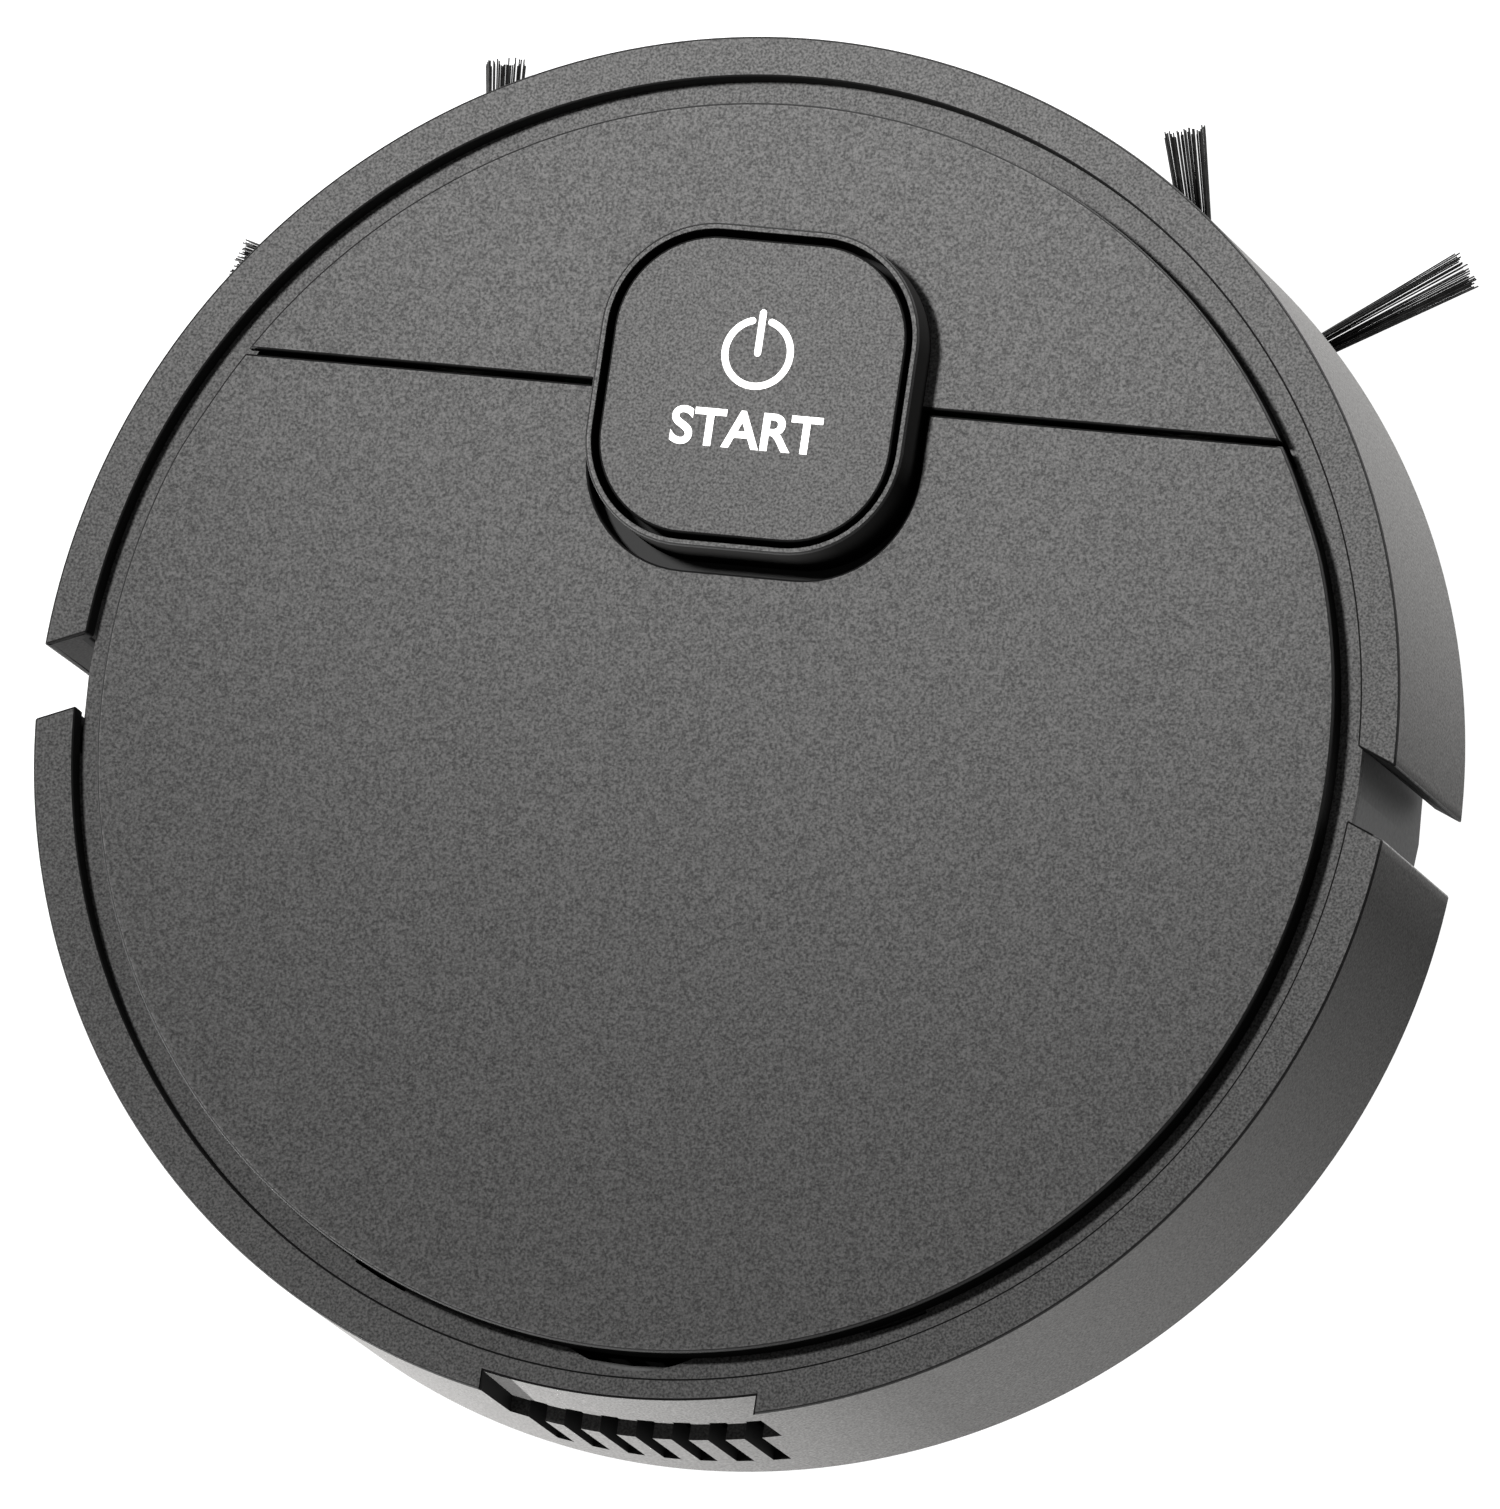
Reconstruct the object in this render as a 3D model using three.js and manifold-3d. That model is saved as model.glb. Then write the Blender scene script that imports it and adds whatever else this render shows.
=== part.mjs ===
// Robot vacuum, 250 mm across: a round two-wheel body with a sprung front bumper, a hinged rear lid over
// the dust bin, a raised power button and two side brushes. Millimetres, +Z up, +Y is the driving
// direction. The origin is on the floor under the centre of the round body.
import * as THREE from 'three';
import { mergeVertices } from 'three/addons/utils/BufferGeometryUtils.js';
import Module from 'manifold-3d';

const wasm = await Module();
wasm.setup();

// ---- Driving dimensions ----
const GAP = 0.3; // kept between pieces that touch
const BODY_R = 125; // outer wall at the rim
const FOOT_R = 123.7; // outer wall at its bottom edge
const WALL = 2; // outer wall thickness
const UNDER_Z = 6.5; // underside above the floor
const FLOOR_TOP = 8.5; // inside of the chassis floor
const RIM_Z = 55; // top of the outer ring
const RIM_INNER_R = 117.7; // inner edge of the outer ring
const RIM_T = 2;
const LIP_T = 1.5; // short wall that hangs inside the ring
const DECK_Z = 50.5; // floor of the channel inside the ring
const DECK_T = 1.8;
const DECK_R = 117.4;
const DECK_EDGE_R = 118.6; // away from the notches the deck reaches under the ring's inner lip
const DECK_EDGE_Y = 14; // and this far from the middle it may
const CHASSIS_R = 116.4;
const TOP_Z = 56; // top of the lid and of the front panel
const PLATE_T = 2.2;
const LID_R = 113.15;
const PANEL_R = 112.8;
const SEAM_Y = 59.75;
const SEAM_W = 1;

// The notch between the bumper's end and the rear shell's end, on each side of the body.
const BUMPER_END_Y = 6.9; // at the ring's inner edge
const REAR_END_Y = -6.46;
const END_SLOPE = -0.41; // the end faces run backwards on their way out

// The raised square power button.
const BOSS_Y = 59.5;
const BOSS_HALF = 29.3;
const BOSS_CORNER = 20;
const BOSS_WALL = 1.2;
const BOSS_TOP = 64;
const CAP_HALF = 26.9;
const CAP_TOP = 63.6;
const CUTOUT_HALF = 30.5; // hole in the lid around the boss
const CUTOUT_BACK = 27.5;
const CORNER_R = 112.7; // the lid narrows a little where its front corners dip on opening

// Drive wheels and their swinging gearboxes.
const WHEEL_R = 23;
const WHEEL_X = 88;
const TYRE_W = 16;
const TYRE_SIDES = 32;
const HUB_R = 17.2;
const PIVOT = [30, 24]; // Y and Z of the gearbox pivot
const AXLE = [0, WHEEL_R]; // Y and Z of the wheel axle
const MOTOR = [12, 26]; // Y and Z of the drive motor

// Caster, side brushes, bin, fan.
const CASTER_Y = 86;
const CASTER_R = 8.5;
const CASTER_TRAIL = 4.5;
const CASTER_WELL_R = 15.2;
const BRUSH = [67, 76.5]; // X and Y of the right brush hub
const BRUSH_REACH = 51;
const BRUSH_ARMS = 5;
const BRUSH_TURN = { left: 168.4, right: 106 }; // first tuft, degrees from +X
const BIN = { x: 44, back: -78, front: -18, bottom: 12, top: 49.5, wall: 1.6 };
const DUCT = { x: 33, back: -40, front: -31 };
const FAN_Z = 29;
const FAN_R = 19;
const HINGE_Y = 55.5;
const HINGE_Z = 53.1;
const HINGE_X = 62;
const BATTERY = { x: 33, back: 29, front: 66, top: 27.3 };
const SCREWS = [[31.5, 104.4], [107.6, 16], [70, -83]]; // mirrored to the other side
const SENSOR_X = 48; // bump sensors
const SPRING_X = 22; // bumper springs
const SPRING_Z = 20;
const JACK = { turn: 205, z: 25, r: 5 };

const wallR = (z) => FOOT_R + ((BODY_R - FOOT_R) * (z - UNDER_Z)) / (RIM_Z - UNDER_Z);
const rad = THREE.MathUtils.degToRad;
const FULL = 2 * Math.PI;
const RIM_SIDES = 72; // facets round the body
const PAN_SIDES = 48; // and round the chassis inside it

// ---- From three.js geometry to solids and back ----
function solid(source) {
  let shape = source.clone();
  shape.deleteAttribute('normal');
  shape.deleteAttribute('uv');
  shape = mergeVertices(shape, 1e-4);
  const at = shape.attributes.position;
  const index = shape.index.array;
  const corners = [];
  let volume = 0;
  const [a, b, c] = [new THREE.Vector3(), new THREE.Vector3(), new THREE.Vector3()];
  for (let i = 0; i < index.length; i += 3) {
    const [p, q, r] = [index[i], index[i + 1], index[i + 2]];
    if (p === q || q === r || r === p) continue;
    corners.push([p, q, r]);
    a.fromBufferAttribute(at, p);
    b.fromBufferAttribute(at, q);
    c.fromBufferAttribute(at, r);
    volume += a.dot(b.cross(c));
  }
  const outward = volume > 0 ? corners : corners.map(([p, q, r]) => [p, r, q]);
  const vertProperties = new Float32Array(at.array);
  const triVerts = new Uint32Array(outward.flat());
  return new wasm.Manifold(new wasm.Mesh({ numProp: 3, vertProperties, triVerts }));
}

function surface(body) {
  const mesh = body.getMesh();
  const shape = new THREE.BufferGeometry();
  shape.setAttribute('position', new THREE.BufferAttribute(new Float32Array(mesh.vertProperties), 3));
  shape.setIndex(new THREE.BufferAttribute(new Uint32Array(mesh.triVerts), 1));
  shape.computeVertexNormals();
  return shape;
}

const join = (...bodies) => bodies.flat().reduce((sum, body) => sum.add(body));
const cut = (body, ...tools) => tools.flat().reduce((rest, tool) => rest.subtract(tool), body);

// ---- Basic solids ----
function box(x0, x1, y0, y1, z0, z1) {
  const shape = new THREE.BoxGeometry(Math.abs(x1 - x0), Math.abs(y1 - y0), Math.abs(z1 - z0));
  return solid(shape.translate((x0 + x1) / 2, (y0 + y1) / 2, (z0 + z1) / 2));
}

// A cylinder along one axis; centre gives the other two coordinates in X, Y, Z order. When flat is true it
// is turned by half a facet, so that a facet and not an edge is lowest.
function rod(axis, r, from, to, centre, sides = 20, flat = false) {
  const start = flat ? Math.PI / sides : 0;
  const shape = new THREE.CylinderGeometry(r, r, Math.abs(to - from), sides, 1, false, start);
  const middle = (from + to) / 2;
  const [u, v] = centre;
  if (axis === 'x') return solid(shape.rotateZ(Math.PI / 2).translate(middle, u, v));
  if (axis === 'y') return solid(shape.translate(u, middle, v));
  return solid(shape.rotateX(Math.PI / 2).translate(u, v, middle));
}

// A closed profile of [radius, height] points turned about the Z axis.
function turned(profile, sides = RIM_SIDES) {
  const points = [...profile, profile[0]].map(([r, z]) => new THREE.Vector2(r, z));
  return solid(new THREE.LatheGeometry(points, sides).rotateX(Math.PI / 2));
}

const ring = (r0, r1, z0, z1, sides = RIM_SIDES) => turned([[r0, z0], [r1, z0], [r1, z1], [r0, z1]], sides);
const disc = (r, z0, z1, sides = RIM_SIDES) => rod('z', r, z0, z1, [0, 0], sides);
const tube = (axis, r0, r1, from, to, centre, sides = 16) => {
  const past = Math.sign(to - from);
  return cut(rod(axis, r1, from, to, centre, sides), rod(axis, r0, from - past, to + past, centre, sides));
};

function prism(outline, z0, z1, curveSegments = 6) {
  const isShape = outline instanceof THREE.Shape;
  const shape = isShape ? outline : new THREE.Shape(outline.map((p) => new THREE.Vector2(...p)));
  const body = new THREE.ExtrudeGeometry(shape, { depth: z1 - z0, bevelEnabled: false, curveSegments });
  return solid(body.translate(0, 0, z0));
}

// The same, with the outline in Y and Z and the depth along X.
function prismX(outline, x0, x1) {
  const shape = new THREE.Shape(outline.map((p) => new THREE.Vector2(...p)));
  const body = new THREE.ExtrudeGeometry(shape, { depth: x1 - x0, bevelEnabled: false }).translate(0, 0, x0);
  const axes = [new THREE.Vector3(0, 1, 0), new THREE.Vector3(0, 0, 1), new THREE.Vector3(1, 0, 0)];
  return solid(body.applyMatrix4(new THREE.Matrix4().makeBasis(...axes)));
}

function roundedRectangle(x, back, front, corner) {
  const shape = new THREE.Shape();
  shape.absarc(x - corner, front - corner, corner, 0, FULL / 4);
  shape.absarc(corner - x, front - corner, corner, FULL / 4, FULL / 2);
  shape.absarc(corner - x, back + corner, corner, FULL / 2, (3 * FULL) / 4);
  shape.absarc(x - corner, back + corner, corner, (3 * FULL) / 4, FULL);
  return shape;
}

const squircle = (half, corner, z0, z1) =>
  prism(roundedRectangle(half, BOSS_Y - half, BOSS_Y + half, corner), z0, z1);

// Turns a solid about the vertical through the origin.
function swung(body, degrees) {
  return solid(surface(body).rotateZ(rad(degrees)));
}

// ---- Outer ring: bumper in front, rear shell behind ----
function endMask(sign, y0) {
  const reach = 150;
  const start = 100; // inside this the mask is straight, well within the ring
  const y = (x) => y0 + END_SLOPE * (x - RIM_INNER_R);
  const outline = [[-reach, y(reach)], [-start, y(start)], [start, y(start)], [reach, y(reach)]];
  return prism([...outline, [reach, sign * reach], [-reach, sign * reach]], 0, 80);
}

function ringShell(sign, y0) {
  const inner = (z) => wallR(z) - WALL;
  const underRim = RIM_Z - RIM_T;
  const hollow = turned([
    [FOOT_R, UNDER_Z], [BODY_R, RIM_Z], [RIM_INNER_R, RIM_Z], [RIM_INNER_R, DECK_Z + GAP],
    [RIM_INNER_R + LIP_T, DECK_Z + GAP], [RIM_INNER_R + LIP_T, underRim],
    [inner(underRim), underRim], [inner(UNDER_Z), UNDER_Z],
  ]);
  const endR = RIM_INNER_R + 0.6;
  const filled = turned([
    [endR, UNDER_Z], [FOOT_R, UNDER_Z], [BODY_R, RIM_Z], [RIM_INNER_R, RIM_Z],
    [RIM_INNER_R, DECK_Z + GAP], [endR, DECK_Z + GAP],
  ]);
  const mask = endMask(sign, y0);
  const endWalls = cut(filled.intersect(mask), endMask(sign, y0 + sign * WALL));
  return join(hollow.intersect(mask), endWalls);
}

function bumper() {
  const shell = ringShell(1, BUMPER_END_Y);
  const flags = [-1, 1].map((side) =>
    box(side * (SENSOR_X - 0.6), side * (SENSOR_X + 0.6), 101.2, 113.5, 28, 34));
  const seats = [-1, 1].map((side) => rod('y', 2, 117, 120, [side * SPRING_X, SPRING_Z], 12));
  return join(shell, flags, seats);
}

const VENT = { half: 25.15, top: 35.6, bottom: 16.6, depth: 3.4, slots: 7, slot: 3.2, pitch: 6.67 };

function rearShell() {
  const shell = ringShell(-1, REAR_END_Y);
  const inner = 120.2; // the wall is thicker behind the recess
  const low = 14;
  const band = turned([[inner, low], [wallR(low), low], [BODY_R, RIM_Z], [inner, RIM_Z]]);
  const pad = band.intersect(box(-27, 27, -130, -100, low, RIM_Z));
  const recess = ring(BODY_R - VENT.depth, BODY_R + 5, VENT.top, RIM_Z + 1)
    .intersect(box(-VENT.half, VENT.half, -135, -100, VENT.top, RIM_Z + 1));
  const slots = [];
  for (let i = 0; i < VENT.slots; i += 1) {
    const x = (i - (VENT.slots - 1) / 2) * VENT.pitch;
    slots.push(box(x - VENT.slot / 2, x + VENT.slot / 2, -135, -117, VENT.bottom, VENT.top + 1));
  }
  const jackHole = swung(rod('x', JACK.r + 0.4, 118, 130, [0, JACK.z]), JACK.turn);
  return cut(join(shell, pad), recess, slots, jackHole);
}

// ---- Chassis ----
function wheelWell(side) {
  return [
    box(side * 78, side * 99.2, -24.5, 25, 0, FLOOR_TOP + 1),
    box(side * 57, side * 79, -14, 14, 0, FLOOR_TOP + 1),
  ];
}

const BAY = { x: 46.5, back: -80.3, front: -16, wall: 1.5 };
const COVER = { x: 36, back: 27, front: 68.6 };
const CLIFF = [['left', -98, 48, -64], ['centre', 0, 108, 0], ['right', 98, 48, 64]];
const CLIFF_SIZE = [16, 8];

function cliffHole(x, y, turn, grow) {
  const [w, d] = CLIFF_SIZE;
  const block = new THREE.BoxGeometry(w + 2 * grow, d + 2 * grow, 8).rotateZ(rad(-turn));
  return solid(block.translate(x, y, UNDER_Z + 4.2));
}

function chassis() {
  const top = DECK_Z - DECK_T - GAP;
  const rearOfNotches = endMask(-1, REAR_END_Y - WALL - 1);
  const solids = [
    disc(CHASSIS_R, UNDER_Z, FLOOR_TOP, PAN_SIDES),
    ring(CHASSIS_R - WALL, CHASSIS_R, UNDER_Z, top, PAN_SIDES),
    disc(FOOT_R - WALL - GAP, UNDER_Z, FLOOR_TOP, PAN_SIDES).intersect(rearOfNotches),
  ];
  const tools = [];
  const outerBay = box(-BAY.x, BAY.x, BAY.back, BAY.front, FLOOR_TOP, top);
  const [bx, by] = [BAY.x - BAY.wall, BAY.wall];
  solids.push(cut(outerBay, box(-bx, bx, BAY.back + by, BAY.front - by, FLOOR_TOP - 1, top + 1)));
  tools.push(rod('y', 12, BAY.back - 1, BAY.back + 3, [0, FAN_Z])); // to the fan
  tools.push(box(-35, 35, DUCT.back - 1.6, DUCT.front + 1.6, 0, FLOOR_TOP + 1)); // suction duct
  const cellX = COVER.x + BAY.wall; // walls round the battery
  solids.push(cut(
    box(-cellX, cellX, COVER.back - BAY.wall, COVER.front, FLOOR_TOP, 28),
    box(-COVER.x, COVER.x, COVER.back, COVER.front - BAY.wall, FLOOR_TOP - 1, 30),
  ));
  tools.push(box(-COVER.x, COVER.x, COVER.back, COVER.front - BAY.wall, 0, FLOOR_TOP + 1));
  solids.push(rod('z', CASTER_WELL_R + 1.5, FLOOR_TOP, 22.1, [0, CASTER_Y]));
  solids.push(rod('z', 6, 22, 34, [0, CASTER_Y]));
  tools.push(rod('z', CASTER_WELL_R, 0, 20.6, [0, CASTER_Y]));
  tools.push(rod('z', 3.9, 0, 40, [0, CASTER_Y]));
  for (const [, x, y, turn] of CLIFF) tools.push(cliffHole(x, y, turn, GAP));
  for (const side of [-1, 1]) {
    solids.push(box(side * 99.5, side * 101, -28, 28, FLOOR_TOP, 44));
    solids.push(box(side * BAY.x, side * 101, -28, -26.5, FLOOR_TOP, 44));
    solids.push(box(side * 50, side * 101, 37, 38.5, FLOOR_TOP, 30));
    for (const [x0, x1] of [[44, 48], [79, 82]]) {
      solids.push(box(side * x0, side * x1, PIVOT[0] - 4.5, PIVOT[0] + 4.5, FLOOR_TOP, 29));
    }
    tools.push(rod('x', 1.8, side * 43, side * 83, PIVOT, 12));
    tools.push(...wheelWell(side));
    solids.push(rod('z', 14, FLOOR_TOP, 12, [side * BRUSH[0], BRUSH[1]]));
    tools.push(rod('z', 12.5, 0, 10.5, [side * BRUSH[0], BRUSH[1]]));
    tools.push(rod('z', 2, 0, 14, [side * BRUSH[0], BRUSH[1]], 12));
    solids.push(rod('y', 4.6, 103, 113, [side * SPRING_X, SPRING_Z], 16));
    tools.push(rod('y', 3.5, 104.5, 120, [side * SPRING_X, SPRING_Z], 16));
    tools.push(box(side * (SENSOR_X - 2.5), side * (SENSOR_X + 2.5), 100, 116, 26, 36));
    for (const [x, y] of SCREWS) {
      solids.push(rod('z', 4.5, FLOOR_TOP, 14, [side * x, y], 12));
      tools.push(rod('z', 3.1, 0, 8.6, [side * x, y], 12), rod('z', 1.8, 0, 20, [side * x, y], 8));
    }
  }
  tools.push(box(-24, 24, -120, -108, 14, 38)); // exhaust window
  tools.push(swung(rod('x', JACK.r + 0.4, 108, 120, [0, JACK.z]), JACK.turn));
  return cut(join(solids), tools);
}

// Two short slits in the deck beside the lid's rear edge, on either side of the finger notch.
const SLIT = { inner: 113.05, outer: 113.75, half: 5.4, turn: 25 };

function topDeck() {
  const bottom = DECK_Z - DECK_T;
  const atNotches = box(-130, 130, -DECK_EDGE_Y, DECK_EDGE_Y, 40, 60);
  const solids = [disc(DECK_R, bottom, DECK_Z), cut(ring(CHASSIS_R, DECK_EDGE_R, bottom, DECK_Z), atNotches)];
  const tools = [box(-46, 46, -80, -16.3, 40, 60)];
  for (const side of [-1, 1]) {
    const slot = box(side * 30, side * 100, HINGE_Y + 0.9, 61.5, 40, DECK_Z + 1); // lid edge dips here
    tools.push(slot.intersect(disc(CORNER_R + GAP, 30, 70)));
    // the lid's lugs turn in this pocket
    tools.push(box(side * 55.5, side * 68.5, HINGE_Y - 2.5, 61.5, DECK_Z - 0.8, DECK_Z + 1));
    for (const [x, y] of SCREWS) {
      solids.push(rod('z', 4, 14.3, DECK_Z - 1, [side * x, y], 12));
      tools.push(rod('z', 1.7, 10, 30, [side * x, y], 8));
    }
  }
  const scoop = rod('z', 22, 40, 60, [0, -93.7], 48); // finger notch behind the lid
  tools.push(cut(scoop, disc(111.5, 30, 70)));
  const slits = [-1, 1].map((side) =>
    swung(box(-SLIT.half, SLIT.half, -120, -105, 40, 60), side * SLIT.turn));
  tools.push(ring(SLIT.inner, SLIT.outer, 40, 60).intersect(join(slits)));
  const ears = [-1, 1].map((side) => hingeEar(side * (HINGE_X - 2), side * (HINGE_X + 2), DECK_Z - 1.3));
  return cut(join(cut(join(solids), tools), ears), hingeBore());
}

// ---- Lid hinge ----
const EAR_R = 1.9;
const PIN_R = 0.9;
const hingeBore = () => [-1, 1].map((side) =>
  rod('x', PIN_R + GAP, side * 50, side * 72, [HINGE_Y, HINGE_Z], 12));

function hingeEar(x0, x1, bottom) {
  const [low, high] = [Math.min(x0, x1), Math.max(x0, x1)];
  const stem = box(low, high, HINGE_Y - EAR_R, HINGE_Y + 0.8, bottom, HINGE_Z);
  return join(rod('x', EAR_R, low, high, [HINGE_Y, HINGE_Z], 12), stem);
}

function lid() {
  const plateZ = TOP_Z - PLATE_T;
  const behindSeam = box(-130, 130, -130, SEAM_Y - SEAM_W / 2, 40, 60);
  const cutout = prism(roundedRectangle(CUTOUT_HALF, CUTOUT_BACK, 130, BOSS_CORNER), 40, 60);
  const plate = cut(disc(LID_R, plateZ, TOP_Z).intersect(behindSeam), cutout);
  const skirt = cut(ring(LID_R - 1.8, LID_R, DECK_Z + 0.5, plateZ + 0.5), box(-130, 130, 46, 130, 0, 90));
  const frontY = SEAM_Y - SEAM_W / 2;
  const chamfer = prismX([[frontY - 0.5, TOP_Z + 0.01], [frontY + 1, TOP_Z + 1], [frontY + 1, TOP_Z - 1.5]],
    -120, 120);
  const lugs = [];
  const pockets = [];
  const trim = cut(disc(LID_R + 5, 40, 60), disc(CORNER_R, 30, 70));
  const corners = trim.intersect(box(-130, 130, 50, 130, 40, 60));
  for (const side of [-1, 1]) {
    for (const [x0, x1] of [[HINGE_X - 6, HINGE_X - 2.4], [HINGE_X + 2.4, HINGE_X + 6]]) {
      const [low, high] = side > 0 ? [x0, x1] : [-x1, -x0];
      lugs.push(rod('x', EAR_R, low, high, [HINGE_Y, HINGE_Z], 12));
      lugs.push(box(low, high, HINGE_Y - EAR_R, HINGE_Y + EAR_R, HINGE_Z, plateZ + 0.5));
    }
    const [x0, x1] = [side * (HINGE_X - 2.4), side * (HINGE_X + 2.4)];
    pockets.push(box(x0, x1, HINGE_Y - 3, 65, 50, HINGE_Z + EAR_R + GAP));
  }
  const latch = box(-6, 6, -110.5, -108.5, DECK_Z + 0.5, plateZ + 0.5);
  return cut(join(plate, skirt, lugs, latch), chamfer, corners, pockets, hingeBore());
}

const hingePin = (side) =>
  rod('x', PIN_R, side * (HINGE_X - 6), side * (HINGE_X + 6), [HINGE_Y, HINGE_Z], 12);

// ---- Front panel with the button boss, and what is in it ----
const BOSS_FLOOR = DECK_Z + GAP;

function frontPanel() {
  const plateZ = TOP_Z - PLATE_T;
  const ahead = box(-130, 130, SEAM_Y + SEAM_W / 2, 130, 0, 90);
  const plate = disc(PANEL_R, plateZ, TOP_Z).intersect(ahead);
  const hanging = ring(PANEL_R - 1.8, PANEL_R, DECK_Z + GAP, plateZ + 0.5);
  const skirt = hanging.intersect(box(-130, 130, 62, 130, 0, 90));
  const boss = squircle(BOSS_HALF, BOSS_CORNER, BOSS_FLOOR, BOSS_TOP);
  const well = squircle(BOSS_HALF - BOSS_WALL, BOSS_CORNER - BOSS_WALL, BOSS_FLOOR + 1.6, BOSS_TOP + 1);
  return cut(join(plate, skirt, boss), well, rod('z', 4, 0, 60, [0, BOSS_Y - 20], 16));
}

function buttonCap() {
  const corner = BOSS_CORNER - (BOSS_HALF - CAP_HALF);
  const top = squircle(CAP_HALF, corner, 58.4, CAP_TOP);
  const inside = squircle(CAP_HALF - 1.4, corner - 1.4, 50, CAP_TOP - 2.4);
  return join(cut(top, inside), rod('z', 2.2, 60.2, CAP_TOP - 1, [0, BOSS_Y], 16));
}

const BOARD_Z = BOSS_FLOOR + 1.6 + GAP;
const buttonBoard = () => box(-18, 18, BOSS_Y - 12, BOSS_Y + 12, BOARD_Z, BOARD_Z + 1.6);
const powerSwitch = () => join(
  box(-3.1, 3.1, BOSS_Y - 3.1, BOSS_Y + 3.1, BOARD_Z + 1.9, BOARD_Z + 5.4),
  rod('z', 1.7, BOARD_Z + 5, BOARD_Z + 6, [0, BOSS_Y], 16),
);
const buttonSpring = () => tube('z', 6.4, 7.6, BOARD_Z + 1.9, CAP_TOP - 2.7, [0, BOSS_Y], 16);

// ---- Dust path ----
function dustBin() {
  const { x, back, front, bottom, top, wall } = BIN;
  const shell = cut(
    box(-x, x, back, front, bottom, top),
    box(wall - x, x - wall, back + wall, front - wall, bottom + wall, top + 9),
  );
  const riser = box(-DUCT.x - 1.2, DUCT.x + 1.2, DUCT.back - 1.2, DUCT.front + 1.2, bottom + 1, 22);
  return cut(
    join(shell, riser),
    box(-DUCT.x, DUCT.x, DUCT.back, DUCT.front, 0, 30),
    box(-33, 33, back - 1, back + wall + 1, 18, 43),
  );
}

function dustBinCover() {
  const plate = box(-45.4, 45.4, -79.4, -16.9, BIN.top + GAP, 52.2);
  const handle = cut(box(-24, 24, -52, -40, 52, 53.3), box(-20, 20, -49.5, -42.5, 50, 54));
  return cut(join(plate, handle), box(-20, 20, -49.5, -42.5, 51, 54));
}

function hepaFilter() {
  const frame = box(-36, 36, -76, -69, 14.2, 47);
  const pleats = [];
  for (let x = -31.5; x <= 31.5; x += 4.5) pleats.push(box(x - 1, x + 1, -71.5, -68, 17.5, 44));
  return cut(frame, pleats);
}

function suctionInlet() {
  const flange = box(-42, 42, -45, -26, 5, UNDER_Z - GAP);
  const duct = box(-34.5, 34.5, DUCT.back - 1.2, DUCT.front + 1.2, UNDER_Z - 1, BIN.bottom - GAP);
  return cut(join(flange, duct), box(-DUCT.x, DUCT.x, DUCT.back, DUCT.front, 0, 20));
}

const suctionLip = () => join(
  box(-40, 40, -47, -45.3, 1.2, UNDER_Z - GAP),
  box(-40, 40, -50, -46, 5, UNDER_Z - GAP),
);

// ---- Fan ----
const FAN = { front: -80.8, back: -111, wall: 1.5 };

function fanHousing() {
  const { front, back, wall } = FAN;
  const centre = [0, FAN_Z];
  const holes = [];
  for (let i = 0; i < 8; i += 1) {
    const turn = (FULL * (i + 0.5)) / 8;
    holes.push(rod('y', 2.2, back - 1, back + 4, [14.2 * Math.cos(turn), FAN_Z + 14.2 * Math.sin(turn)], 12));
  }
  return cut(
    rod('y', FAN_R, back, front, centre, 32),
    rod('y', FAN_R - wall, back + wall, front - wall, centre, 32),
    rod('y', 10, front - 5, front + 5, centre),
    holes,
  );
}

const fanMotor = () => join(
  rod('y', 10, -109.2, -96, [0, FAN_Z]),
  rod('y', 1, -97, -88, [0, FAN_Z], 12),
);

function fanImpeller() {
  const blades = [];
  for (let i = 0; i < 7; i += 1) {
    const blade = new THREE.BoxGeometry(12.4, 8.6, 1.2).translate(9.6, 0, 0).rotateY((FULL * i) / 7);
    blades.push(solid(blade.translate(0, -88.6, FAN_Z)));
  }
  const hub = rod('y', 4, -94, -85, [0, FAN_Z], 16);
  const disk = rod('y', 16.2, -94, -92.6, [0, FAN_Z], 32);
  return cut(join(disk, hub, blades), rod('y', 1 + GAP, -95, -86.5, [0, FAN_Z], 12));
}

// ---- Power and electronics ----
const { x: CELL_X, back: CELL_BACK, front: CELL_FRONT, top: CELL_TOP } = BATTERY;

function batteryPack() {
  const r = (CELL_TOP - FLOOR_TOP - GAP) / 2;
  const z = FLOOR_TOP + GAP + r;
  const cells = [CELL_BACK + r, CELL_FRONT - r].map((y) => rod('x', r, -CELL_X, CELL_X, [y, z], 20));
  return join(cells, box(-CELL_X, CELL_X, CELL_BACK + r, CELL_FRONT - r, z - r + 0.2, z + r - 0.2));
}

function batteryCover() {
  const plate = box(GAP - COVER.x, COVER.x - GAP, COVER.back + GAP, COVER.front - BAY.wall - GAP,
    UNDER_Z, FLOOR_TOP - GAP);
  return cut(plate, rod('z', 2.8, 0, 7.3, [0, 62.5], 16), box(-8, 8, 29.5, 33, 0, 7.3));
}

function mainBoard() {
  const z = 31;
  const parts = [box(-44, 44, 26, 72, z, z + 1.6)];
  parts.push(box(-7, 7, 42, 56, z + 1, z + 3.2)); // processor
  parts.push(box(-40, -28, 60, 68, z + 1, z + 8), box(28, 40, 60, 68, z + 1, z + 8)); // connectors
  parts.push(rod('z', 5, z + 1, z + 11, [30, 38], 16), rod('z', 5, z + 1, z + 11, [-30, 38], 16));
  return join(parts);
}

function chargeJack() {
  const body = join(
    rod('x', JACK.r, 112, 123.4, [0, JACK.z]),
    box(104, 112.5, -5, 5, JACK.z - 5, JACK.z + 5),
  );
  const socket = cut(rod('x', 3.1, 114, 130, [0, JACK.z], 16), rod('x', 1, 110, 121.5, [0, JACK.z], 12));
  return swung(cut(body, socket), JACK.turn);
}

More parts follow.
